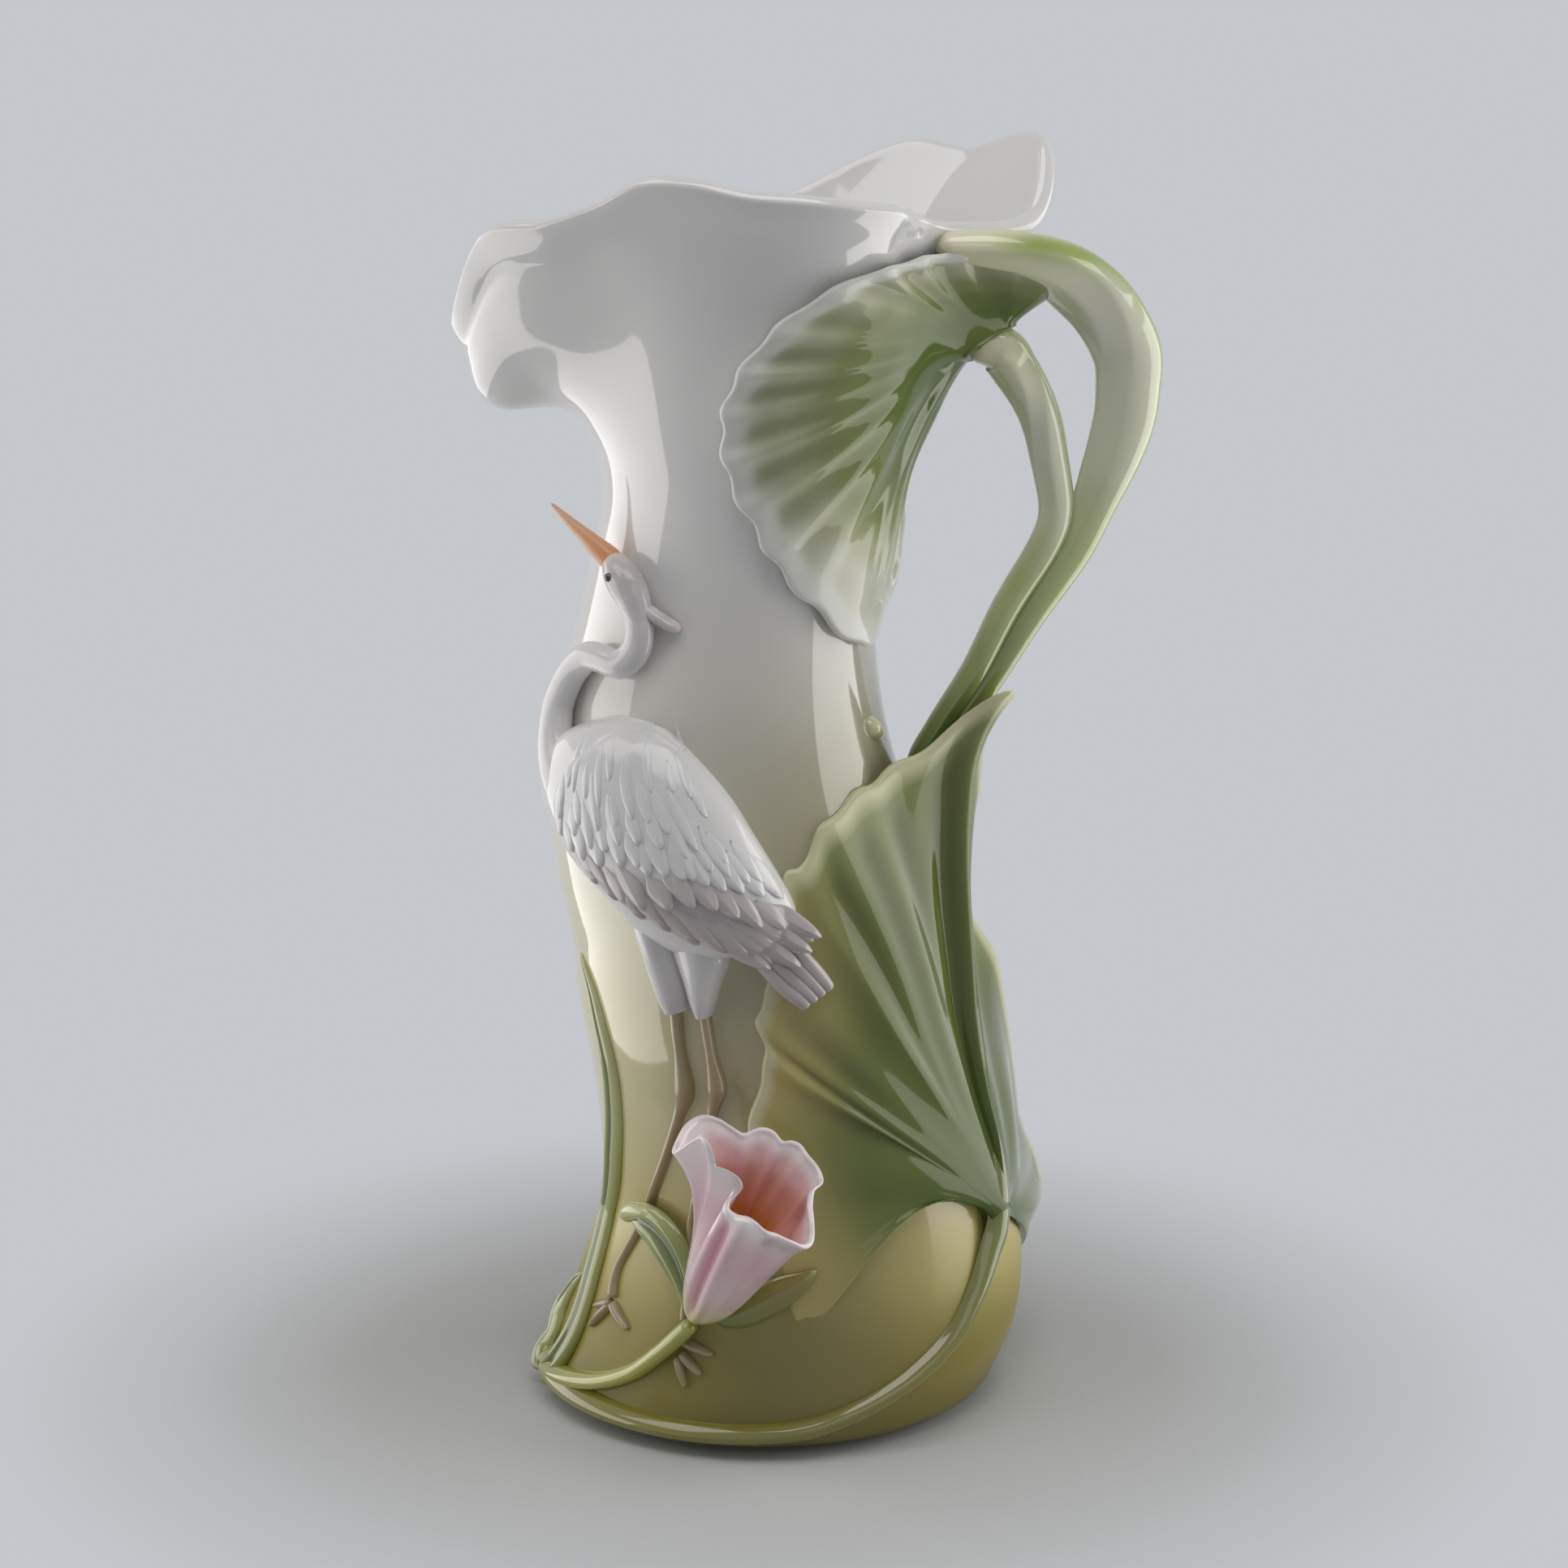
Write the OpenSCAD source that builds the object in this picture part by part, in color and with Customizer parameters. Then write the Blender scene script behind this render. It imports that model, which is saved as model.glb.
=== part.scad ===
// Porcelain ewer: a winding hollow body with a petal mouth, a handle of two stems,
// two large pleated leaves, and an egret, a flower and grass applied to the wall.
// The origin is the centre of the foot ring on the table. The handle is on +X, the pouring lip on -X.

/* [Vessel] */
// Height of the throat, where the mouth starts to open
throat_h = 232; // [222:1:242]
// Radius of the belly at its fullest
belly_r = 57; // [55:0.5:60]
// Radius of the neck at its slimmest
neck_r = 35; // [33:0.5:37]
// Sideways travel of the body's winding axis
lean = 14; // [11:0.5:16]
// Thickness of the wall
wall_t = 4; // [3:0.25:5]
// Thickness of the floor
floor_t = 6; // [4:0.5:9]
// Rounding of the lower edge
base_edge = 4; // [3:0.25:5]

/* [Mouth] */
// Reach of the pouring lip from the mouth's axis
mouth_reach = 70; // [67:0.5:73]
// Rise of the highest petal above the throat
mouth_rise = 80; // [75:1:85]
// Thickness of the lip
lip_t = 3.5; // [2.5:0.25:4]

/* [Foot] */
// Height of the unglazed foot ring
foot_h = 2; // [1.5:0.25:3]
// Outer radius of the foot ring
foot_r = 48; // [44:0.5:50]
// Width of the foot ring
foot_w = 8; // [6:0.5:10]

/* [Handle] */
// Greatest distance of the outer stem's inner side from the wall
handle_reach = 46; // [42:0.5:50]
// Thickness of the outer stem, seen from the side
outer_stem_t = 16; // [14:0.5:17]
// Depth of the outer stem, front to back
outer_stem_w = 12; // [10:0.5:13]
// Thickness of the inner stem, seen from the side
inner_stem_t = 9; // [8:0.25:10]
// Depth of the inner stem, front to back
inner_stem_w = 9; // [8:0.25:10]
// Length of the small nub beside the inner stem's root
nub_w = 4; // [3:0.25:5]

/* [Leaves] */
// Thickness of both leaves
leaf_t = 2.4; // [2:0.1:2.8]
// Depth of the pleats
pleat_h = 1.4; // [0.8:0.1:1.8]
// Distance of the upper leaf's throat from the wall
upper_leaf_lift = 14; // [12:0.5:16]
// Distance of the lower leaf's tip from the wall
lower_leaf_lift = 30; // [28:0.5:32]

/* [Grass and stems] */
// Width of the runner round the foot
runner_w = 5; // [4:0.25:6]
// Rise of the runner
runner_t = 3; // [2:0.25:4]
// Width of the tall blade
blade_w = 7.5; // [6:0.25:8]
// Rise of the blades
blade_t = 2.4; // [1.6:0.2:3]
// Width of the short blade
short_blade_w = 7; // [5:0.25:8]
// Width of the flower's stem
flower_stem_w = 4; // [3:0.25:4.5]
// Rise of the flower's stem
flower_stem_t = 3.4; // [2.5:0.2:4]
// Width of the folded leaf
fold_w = 9; // [7:0.25:10]
// Rise of the folded leaf
fold_t = 4; // [3:0.25:5]
// Width of the leaf below the flower
sepal_w = 8; // [6:0.25:9]
// Rise of the leaf below the flower
sepal_t = 2.6; // [2:0.2:3.4]

/* [Flower] */
// Length of the flower along its axis
flower_l = 46; // [42:0.5:50]
// Radius of the flower's mouth
flower_r = 18; // [16:0.5:19]
// Radius of the flower's base
flower_base_r = 3.6; // [3:0.1:4.4]
// Thickness of the petals
petal_t = 2; // [1.6:0.1:2.4]
// Depth of the ruffles round the flower's mouth
ruffle = 2; // [1:0.25:3]

/* [Egret] */
// Width of the egret's body across the wing
egret_w = 45; // [41:0.5:47]
// Rise of the egret's body from the wall
egret_t = 13; // [11:0.5:15]
// Thickness of the neck
egret_neck_d = 8; // [7:0.25:8.5]
// Thickness of the head
egret_head_d = 9; // [8:0.25:10]
// Thickness of the beak at its root
beak_d = 6.4; // [5.6:0.2:7]
// Distance of the beak's tip from the wall
beak_reach = 13.5; // [11:0.5:15]
// Width of the crest
crest_w = 4; // [3:0.25:5]
// Rise of the crest
crest_t = 2.6; // [2:0.2:3.4]
// Diameter of the eye
eye_d = 2; // [1.6:0.1:2.4]
// Thickness of the feathers
feather_t = 1; // [0.8:0.1:1.4]
// Width of the thighs
thigh_w = 8; // [7:0.25:9]
// Rise of the thighs
thigh_t = 5; // [4:0.25:6]
// Width of the legs at the knee
leg_w = 5; // [4:0.25:5.5]
// Rise of the legs at the knee
leg_t = 2.8; // [2.2:0.2:3.4]
// Width of the toes
toe_w = 2.6; // [2:0.2:3]
// Rise of the toes
toe_t = 2; // [1.4:0.2:2.6]

/* [Seating] */
// Film between an applied piece and what it sits on
seat_gap = 0.3; // [0.2:0.05:0.4]
// Thickness of an applied piece at its edge
relief_edge = 0.4; // [0.3:0.1:0.6]

/* [Hidden] */

// Body sections at even heights from foot to throat: axis as shares of lean, and radius as shares of
// the way from neck to belly
lean_shares = [0, 0.44, 0.69, 0.76, 0.60, 0.35, 0.09, -0.10, -0.37, -0.61, -0.78, -0.79, -0.67, -0.48,
    -0.32];
radius_shares = [0.98, 0.99, 0.9, 0.74, 0.67, 0.6, 0.57, 0.53, 0.51, 0.44, 0.31, 0.18, 0.06, 0.02, 0.01];
mouth_lean_share = -0.30;
// Lip every 15 degrees from the handle: reach as shares of the mouth's reach, height of its rise
rim_reach_shares = [0.98, 1.06, 0.92, 0.84, 0.74, 0.70, 0.68, 0.68, 0.69, 0.72, 0.80, 0.92,
    1.00, 0.92, 0.79, 0.71, 0.69, 0.68, 0.685, 0.70, 0.705, 0.695, 0.67, 0.72];
rim_rise_shares = [0.79, 0.985, 0.92, 0.93, 0.855, 0.77, 0.71, 0.68, 0.67, 0.67, 0.66, 0.60,
    0.47, 0.77, 0.83, 0.90, 0.98, 0.985, 0.955, 0.94, 0.915, 0.885, 0.84, 0.79];
// Where the flare passes on its way to the lip: plain wall, and what the pouring lip adds to it
flare_root_share = 0.19;
flare_reach_share = 0.50;
flare_rise_share = 0.68;
lip_reach_share = 0.19;
lip_rise_share = -0.16;
// How narrow the pouring lip's trough is
lip_focus = 6;

last_row = len(lean_shares) - 1;
row_step = (throat_h - foot_h) / last_row;
rim_row = last_row + 3;
rim_turn = 360 / len(rim_reach_shares);
vessel_sides = 56;
foot_sides = 96;
vessel_base_shares = [0, 0.03, 0.09, 0.2, 0.5];
search_steps = 14;
// Small step for directions, as a share of a row
nudge_share = 0.02;

// Curves

// Point at f between b and c, on a smooth curve from a through b and c to d
function spline(a, b, c, d, f) =
    b + f / 2 * (c - a + f * (2 * a - 5 * b + 4 * c - d + f * (3 * (b - c) + d - a)));

function pick(rows, k) = rows[max(0, min(k, len(rows) - 1))];

// Row at place u of a table, smoothed between its rows
function along(rows, u) =
    let (k = max(0, min(floor(u), len(rows) - 2)))
    spline(pick(rows, k - 1), pick(rows, k), pick(rows, k + 1), pick(rows, k + 2), u - k);

function unit(v) = v / norm(v);

function mix(a, b, f) = a + (b - a) * f;

// Value at an angle of a table that goes round the mouth
function around(shares, angle) =
    let (n = len(shares), u = angle / rim_turn, k = floor(u))
    spline(shares[(k - 1 + 2 * n) % n], shares[(k + 2 * n) % n], shares[(k + 1 + 2 * n) % n],
        shares[(k + 2 + 2 * n) % n], u - k);

// The wall: sections hold the axis's place, the radius and the height

function body_row(k) =
    [lean * pick(lean_shares, k), mix(neck_r, belly_r, pick(radius_shares, k)), foot_h + k * row_step];

function rim_section(angle) =
    [lean * mouth_lean_share, mouth_reach * around(rim_reach_shares, angle),
        throat_h + mouth_rise * around(rim_rise_shares, angle)];

function lip_weight(angle) = pow(max(0, -cos(angle)), lip_focus);

function mouth_row(k, angle) =
    let (rim = rim_section(angle), w = lip_weight(angle))
    k == last_row + 1
        ? [rim[0], mix(neck_r, rim[1], flare_root_share), throat_h + row_step]
        : k == last_row + 2
            ? [rim[0], mix(neck_r, rim[1], flare_reach_share + lip_reach_share * w),
                mix(throat_h, rim[2], flare_rise_share + lip_rise_share * w)]
            : rim;

function section_row(k, angle) =
    k <= last_row ? body_row(k)
        : k <= rim_row ? mouth_row(k, angle)
            : 2 * mouth_row(rim_row, angle) - mouth_row(rim_row - 1, angle);

function section(angle, u) =
    let (k = min(floor(u), rim_row - 1))
    spline(section_row(k - 1, angle), section_row(k, angle), section_row(k + 1, angle),
        section_row(k + 2, angle), u - k);

function edge_inset(z) =
    let (d = base_edge - max(0, z - foot_h))
    d <= 0 ? 0 : base_edge - sqrt(max(0, base_edge * base_edge - d * d));

// Point of the outer wall at row place u, moved in by depth square to the wall's slope
function wall_point(angle, u, depth = 0) =
    let (s = section(angle, u),
        slope = unit(section(angle, u + nudge_share) - section(angle, u - nudge_share)),
        r = s[1] - edge_inset(s[2]) - depth * slope[2] / norm([slope[1], slope[2]]))
    [s[0] + r * cos(angle), r * sin(angle), s[2] + depth * slope[1] / norm([slope[1], slope[2]])];

// Row place of a height, found by halving where the mouth's rows aren't even
function place_between(z, angle, low, high, steps) =
    let (mid = (low + high) / 2)
    steps == 0 ? mid
        : section(angle, mid)[2] < z ? place_between(z, angle, mid, high, steps - 1)
            : place_between(z, angle, low, mid, steps - 1);

function place_of(z, angle) =
    z <= throat_h ? max(0, (z - foot_h) / row_step)
        : place_between(z, angle, last_row, rim_row, search_steps);

function height_at(share) = foot_h + share * (throat_h - foot_h);

// Point at an angle and a share of the throat's height, raised level from the wall
function on_wall(angle, share, lift) =
    let (z = height_at(share), s = section(angle, place_of(z, angle)), r = s[1] - edge_inset(z) + lift)
    [s[0] + r * cos(angle), r * sin(angle), z];

// The same for a point near the wall, which keeps its height and its direction from the axis
function seated(p, lift) =
    let (z = max(foot_h, p[2]),
        axis = z > throat_h ? lean * mouth_lean_share : section(0, place_of(z, 0))[0],
        angle = atan2(p[1], p[0] - axis),
        r = section(angle, place_of(z, angle))[1] - edge_inset(z) + lift)
    [axis + r * cos(angle), r * sin(angle), z];

// Solids skinned over rings of points

function loft_faces(rings, sides, start) = [
    for (i = [0 : rings - 2], j = [0 : sides - 1])
        let (a = start + i * sides + j, b = start + i * sides + (j + 1) % sides)
        each [[a, b, b + sides], [a, b + sides, a + sides]],
    for (j = [0 : sides / 2 - 2], end = [0, 1])
        let (first = start + end * (rings - 1) * sides,
            quad = [first + j, first + j + 1, first + sides - 2 - j, first + sides - 1 - j])
        each end == 0
            ? [[quad[0], quad[2], quad[1]], [quad[0], quad[3], quad[2]]]
            : [[quad[0], quad[1], quad[2]], [quad[0], quad[2], quad[3]]]
];

function points_before(lofts, i) =
    i == 0 ? 0 : points_before(lofts, i - 1) + len(lofts[i - 1]) * len(lofts[i - 1][0]);

// One closed solid for each list of rings
module skinned(lofts) {
    polyhedron(
        points = [for (loft = lofts, ring = loft) each ring],
        faces = [for (i = [0 : len(lofts) - 1])
            each loft_faces(len(lofts[i]), len(lofts[i][0]), points_before(lofts, i))],
        convexity = 10);
}

function dome(x) = sqrt(max(0, 1 - x * x));

// Direction along the wall, square to the way of a strip at its row place u
function across_way(rows, u) =
    let (row = along(rows, u), ahead = along(rows, min(u + nudge_share, len(rows) - 1)),
        behind = along(rows, max(u - nudge_share, 0)),
        way = on_wall(ahead[0], ahead[1], 0) - on_wall(behind[0], behind[1], 0))
    unit(cross([cos(row[0]), sin(row[0]), 0], way));

// Domed strip seated on the wall. Its rows hold angle, height share, width share, rise share, and the
// share of the over size by which it passes above another piece.
function relief(rows, width, rise, steps, across, over = 0) =
    let (count = steps * (len(rows) - 1))
    [for (i = [0 : count])
        let (u = i / steps, row = along(rows, u), here = on_wall(row[0], row[1], 0),
            side = across_way(rows, u),
            spread = [for (j = [0 : across - 1]) 2 * j / (across - 1) - 1],
            base = seat_gap + over * row[4])
        [for (x = spread)
            seated(here + side * x * width / 2 * row[2], base + relief_edge + rise * row[3] * dome(x)),
            for (j = [across - 1 : -1 : 0])
                seated(here + side * spread[j] * width / 2 * row[2], base)]];

// Round stem whose axis is raised from the wall. Its rows hold angle, height share, the share of the
// reach by which its inner side stands off, and thickness share.
function stem_axis(rows, u, reach, thick) =
    let (row = along(rows, max(0, min(u, len(rows) - 1))))
    on_wall(row[0], row[1], seat_gap + reach * row[2] + thick * row[3] / 2);

function stem(rows, reach, thick, wide, steps, sides) =
    let (count = steps * (len(rows) - 1))
    [for (i = [0 : count])
        let (u = i / steps, row = along(rows, u), here = stem_axis(rows, u, reach, thick),
            ahead = stem_axis(rows, u + nudge_share, reach, thick),
            behind = stem_axis(rows, u - nudge_share, reach, thick),
            way = unit(ahead - behind),
            side = unit(cross([cos(row[0]), sin(row[0]), 0], way)),
            out = cross(way, side))
        [for (j = [0 : sides - 1])
            let (turn = 360 * j / sides)
            here - side * wide * row[3] / 2 * cos(turn) + out * thick * row[3] / 2 * sin(turn)]];

// Pleated sheet that fans out from a throat. Margin rows hold angle, height share, the share of the lift
// by which the margin stands off, and the bow of the rib in angle and height share.
function leaf_point(throat, throat_lift, margin, lift, t, pleat) =
    let (bow = 4 * t * (1 - t), stand = 2 * seat_gap + leaf_t)
    on_wall(mix(throat[0], margin[0], t) + bow * margin[3], mix(throat[1], margin[1], t) + bow * margin[4],
        mix(throat_lift, stand, 1 - pow(1 - t, 2)) + lift * margin[2] * pow(t, 4) + pleat_h * pleat * bow);

function leaf(throat, throat_lift, margins, lift, folds, steps, first_share) =
    let (count = folds * (len(margins) - 1))
    [for (i = [count : -1 : 0])
        let (margin = along(margins, i / folds), pleat = i % 2,
            rib = [for (k = [0 : steps])
                leaf_point(throat, throat_lift, margin, lift, mix(first_share, 1, k / steps), pleat)],
            axis = [for (p = rib) section(0, place_of(min(p[2], throat_h), 0))[0]],
            under = [for (k = [0 : steps]) rib[k] - leaf_t * unit([rib[k][0] - axis[k], rib[k][1], 0])])
        [each rib, for (k = [steps : -1 : 0]) under[k]]];

// Vessel and foot

vessel_places = [each vessel_base_shares, for (k = [2 : 2 * last_row]) k / 2,
    for (k = [4 * last_row + 1 : 4 * rim_row]) k / 4];
floor_place = (floor_t + base_edge / 2) / row_step;

function wall_depth(u) =
    u < last_row ? wall_t : mix(wall_t, lip_t, (u - last_row) / (rim_row - last_row));

function vessel_ring(u, inner) =
    [for (j = [0 : vessel_sides - 1]) wall_point(360 * j / vessel_sides, u, inner ? wall_depth(u) : 0)];

// Loop midway across the lip, raised to round it
function lip_ring() =
    let (outer = vessel_ring(rim_row, false), inner = vessel_ring(rim_row, true),
        below = vessel_ring(rim_row - 1 / 2, false))
    [for (j = [0 : vessel_sides - 1]) (outer[j] + inner[j]) / 2 + lip_t / 2 * unit(outer[j] - below[j])];

function floor_ring() =
    [for (p = vessel_ring(floor_place, true)) [p[0] - base_edge / 2 * p[0] / norm([p[0], p[1]]),
        p[1] - base_edge / 2 * p[1] / norm([p[0], p[1]]), foot_h + floor_t]];

module vessel_body() {
    inner_places = [for (u = vessel_places)
        if (u > floor_place + nudge_share && (u == floor(u) || u > last_row)) u];
    color([0.88, 0.88, 0.84])
        skinned([[for (u = vessel_places) vessel_ring(u, false), lip_ring(),
            for (k = [len(inner_places) - 1 : -1 : 0]) vessel_ring(inner_places[k], true), floor_ring()]]);
}

module foot_ring() {
    color([0.93, 0.92, 0.88])
        rotate_extrude($fn = foot_sides)
            translate([foot_r - foot_w, 0])
                square([foot_w, foot_h]);
}

// Handle

outer_stem_shares = [[-2, 1.25, 0, 0.45], [-2, 1.241, 0.1, 0.75], [-1, 1.224, 0.28, 0.95],
    [0, 1.188, 0.58, 1], [0, 1.14, 0.82, 1], [0, 1.095, 0.92, 1], [0, 1.05, 0.98, 0.95],
    [0, 1.01, 1.02, 0.82], [0, 0.97, 1.0, 0.66], [0, 0.915, 0.89, 0.56], [0, 0.85, 0.74, 0.5],
    [0, 0.78, 0.51, 0.48], [0, 0.72, 0.24, 0.48], [0, 0.68, 0.07, 0.46], [0, 0.64, 0, 0.4]];
inner_stem_shares = [[-1, 1.142, 0.2, 1], [-1, 1.12, 0.31, 1], [-1, 1.085, 0.48, 1],
    [-1, 1.045, 0.63, 0.95], [-1, 1.0, 0.74, 0.85], [-1, 0.965, 0.77, 0.72], [-1, 0.93, 0.72, 0.62],
    [-1, 0.875, 0.60, 0.6], [-1, 0.80, 0.38, 0.6], [-1, 0.735, 0.12, 0.6], [-1, 0.70, 0, 0.6]];

module outer_stem() {
    color([0.75, 0.80, 0.60])
        skinned([stem(outer_stem_shares, handle_reach, outer_stem_t, outer_stem_w, 2, 12)]);
}

module inner_stem() {
    color([0.75, 0.80, 0.60])
        skinned([stem(inner_stem_shares, handle_reach, inner_stem_t, inner_stem_w, 2, 10)]);
}

module stem_nub() {
    nub_shares = [[333, 0.755, 0.4, 0.3, 0], [336, 0.75, 1, 1, 0], [339, 0.742, 0.9, 0.9, 0],
        [342, 0.735, 0.4, 0.3, 0]];
    color([0.72, 0.76, 0.52])
        skinned([relief(nub_shares, nub_w, nub_w / 2, 2, 4)]);
}

// Leaves

upper_leaf_throat_shares = [-7, 1.14];
upper_leaf_margin_shares = [[-9, 1.175, 1.4, 0, 0], [-9.5, 1.225, 0.9, 0, 0], [-13, 1.245, 0.2, 0, 0],
    [-32, 1.248, 0, 0, 0], [-55, 1.245, 0, 0, 0], [-75, 1.21, 0, 0, 0], [-90, 1.16, 0, 0, 0],
    [-97, 1.11, 0, 0, 0], [-96, 1.04, 0, 0, 0], [-84, 0.98, 0, 0, 0], [-72, 0.94, 0, 0, 0],
    [-52, 0.885, 0, 0, 0], [-30, 0.84, 0, 0, 0], [-14, 0.88, 0, 0, 0], [0, 0.93, 0, 0, 0],
    [10, 0.99, 0, 0, 0], [17, 1.05, 0, 0, 0], [20, 1.11, 0, 0, 0]];
lower_leaf_throat_shares = [-29, 0.17];
lower_leaf_margin_shares = [[-89, 0.125, 0, 0, 0.075], [-93, 0.22, 0, 0, 0.045], [-96, 0.30, 0, 0, 0.03],
    [-98, 0.36, 0, 0, 0.02], [-89, 0.44, 0, 0, 0.02], [-88, 0.483, 0, 0, 0.02], [-80, 0.515, 0, 0, 0.02],
    [-73, 0.55, 0, 0, 0.02], [-72.5, 0.585, 0, 0, 0.02], [-72, 0.615, 0, 0, 0.02], [-65, 0.635, 0, 0, 0.02],
    [-53, 0.67, 0, -1, 0.02], [-33, 0.695, 0, -3, 0.02], [-14, 0.71, 0.06, -6, 0.01],
    [-10.5, 0.745, 0.5, -8, 0], [-8.5, 0.775, 1, -8, 0], [2, 0.74, 0.95, -6, 0], [6, 0.66, 0.66, -4, 0],
    [12, 0.58, 0.44, -2, 0], [18, 0.5, 0.44, 0, 0], [22, 0.42, 0.42, 0, 0], [25, 0.34, 0.4, 0, 0],
    [28, 0.26, 0.38, 0, 0], [29, 0.2, 0.34, 0, 0], [27, 0.14, 0.2, 0, 0.02]];
lower_leaf_throat_lift = leaf_t * 3;
leaf_start_share = 0.14;

module upper_leaf() {
    color([0.55, 0.62, 0.42])
        skinned([leaf(upper_leaf_throat_shares, upper_leaf_lift, upper_leaf_margin_shares, upper_leaf_lift,
            2, 7, leaf_start_share)]);
}

module lower_leaf() {
    color([0.42, 0.50, 0.28])
        skinned([leaf(lower_leaf_throat_shares, lower_leaf_throat_lift, lower_leaf_margin_shares,
            lower_leaf_lift, 2, 8, leaf_start_share)]);
}

// Grass and stems

// Top of a leg's shank, where the flower's stem and the folded leaf pass over it
shank_share = 0.6;
leg_top = leg_t * shank_share + relief_edge + seat_gap;

module base_runner() {
    runner_shares = [[326, 0.165, 0.8, 1, 0], [319, 0.14, 1, 1, 0], [312.5, 0.107, 1, 1, 0],
        [305, 0.08, 1, 1, 0], [296, 0.054, 1, 1, 0], [288, 0.037, 1, 1, 0], [279, 0.024, 1, 1, 0],
        [266, 0.018, 1, 1, 0], [252, 0.016, 1, 1, 0], [237, 0.016, 1, 1, 0], [222, 0.016, 0.9, 1, 0],
        [206, 0.016, 0.6, 0.7, 0]];
    color([0.45, 0.47, 0.20])
        skinned([relief(runner_shares, runner_w, runner_t, 3, 6)]);
}

module tall_blade() {
    blade_shares = [[201, 0.022, 0.5, 0.8, 0], [200.7, 0.067, 0.8, 1, 0], [198.5, 0.128, 1, 1, 0],
        [197, 0.197, 1, 1, 0], [201, 0.269, 1, 1, 0], [207, 0.336, 0.9, 0.9, 0],
        [209.5, 0.397, 0.7, 0.8, 0], [207, 0.454, 0.45, 0.6, 0], [199.5, 0.488, 0.12, 0.3, 0]];
    color([0.45, 0.52, 0.25])
        skinned([relief(blade_shares, blade_w, blade_t, 3, 5)]);
}

module short_blade() {
    short_blade_shares = [[189, 0.022, 0.6, 0.8, 0], [187, 0.045, 1, 1, 0], [186, 0.07, 0.9, 1, 0],
        [187, 0.1, 0.6, 0.8, 0], [190, 0.125, 0.2, 0.4, 0]];
    color([0.55, 0.56, 0.25])
        skinned([relief(short_blade_shares, short_blade_w, blade_t, 3, 5)]);
}

module flower_stem() {
    flower_stem_shares = [[206.5, 0.042, 0.8, 0.9, 0], [217, 0.054, 1, 1, 0], [227.5, 0.073, 1, 1, 0],
        [235, 0.098, 1, 1, 0.6], [239.5, 0.122, 1, 1, 1], [242.5, 0.138, 0.9, 0.9, 1]];
    color([0.55, 0.58, 0.28])
        skinned([relief(flower_stem_shares, flower_stem_w, flower_stem_t, 3, 4, leg_top)]);
}

module folded_leaf() {
    fold_shares = [[237.5, 0.168, 0.3, 0.5, 1], [234, 0.19, 0.7, 0.8, 1], [228.5, 0.214, 1, 1, 1],
        [222, 0.23, 0.9, 0.9, 1], [216.5, 0.222, 0.4, 0.5, 1]];
    color([0.50, 0.58, 0.34])
        skinned([relief(fold_shares, fold_w, fold_t, 3, 5, leg_top)]);
}

module sepal_leaf() {
    sepal_shares = [[249.5, 0.138, 0.4, 0.6, 0], [256, 0.152, 1, 1, 0], [260.5, 0.163, 0.95, 1, 0],
        [264, 0.173, 0.6, 0.7, 0], [266.5, 0.18, 0.15, 0.3, 0]];
    color([0.42, 0.50, 0.25])
        skinned([relief(sepal_shares, sepal_w, sepal_t, 3, 5)]);
}

// Flower

flower_angle = 243.3;
flower_share = 0.143;
flower_out_tilt = 20;
flower_side_tilt = 30;
flower_sides = 30;
flower_lobes = 5;
flower_profile_shares = [[0, 0.12], [0.06, 0.3], [0.2, 0.44], [0.4, 0.54], [0.6, 0.66], [0.8, 0.82],
    [1, 1]];

flower_out = [cos(flower_angle), sin(flower_angle), 0];
flower_side = [-sin(flower_angle), cos(flower_angle), 0];
flower_axis = unit([0, 0, 1] + tan(flower_out_tilt) * flower_out + tan(flower_side_tilt) * flower_side);
flower_x = unit(cross(flower_axis, flower_out));
flower_y = cross(flower_axis, flower_x);
flower_root = on_wall(flower_angle, flower_share, seat_gap + leg_top + flower_stem_t / 2);

// Ring of the flower's outer or inner side at a share of its profile
function flower_ring(k, inner) =
    let (place = flower_profile_shares[k], s = place[0])
    [for (j = [0 : flower_sides - 1])
        let (turn = 360 * j / flower_sides, wave = cos(flower_lobes * turn) * s * s,
            r = max(flower_base_r / 2, flower_r * place[1] + ruffle * wave - (inner ? petal_t : 0)),
            rise = flower_l * s + ruffle * wave + (inner && k < 2 ? petal_t * 2 : 0))
        flower_root + flower_axis * rise + r * (flower_x * cos(turn) - flower_y * sin(turn))];

module flower() {
    last = len(flower_profile_shares) - 1;
    color([0.88, 0.74, 0.78])
        skinned([[for (k = [0 : last]) flower_ring(k, false),
            for (k = [last : -1 : 1]) flower_ring(k, true)]]);
}

// Egret

egret_shares = [[215, 0.742, 0.45, 0.4, 0], [222, 0.733, 0.72, 0.72, 0], [233, 0.705, 0.95, 0.95, 0],
    [245, 0.666, 1, 1, 0], [255, 0.637, 0.9, 1, 0], [265, 0.6, 0.72, 0.85, 0], [274, 0.568, 0.5, 0.55, 0],
    [280, 0.552, 0.3, 0.3, 0]];
egret_across = 11;

module egret_body() {
    color([0.90, 0.90, 0.91])
        skinned([relief(egret_shares, egret_w, egret_t, 3, egret_across)]);
}

// Point over the egret's back at row place u and share x across it, raised from it
function on_egret(u, x, lift) =
    let (row = along(egret_shares, u), side = across_way(egret_shares, u),
        here = on_wall(row[0], row[1], 0))
    seated(here + side * x * egret_w / 2 * row[2],
        seat_gap + relief_edge + egret_t * row[3] * dome(x) + lift);

feather_shares = [0.45, 0.9, 1, 0.85, 0.3];

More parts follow.
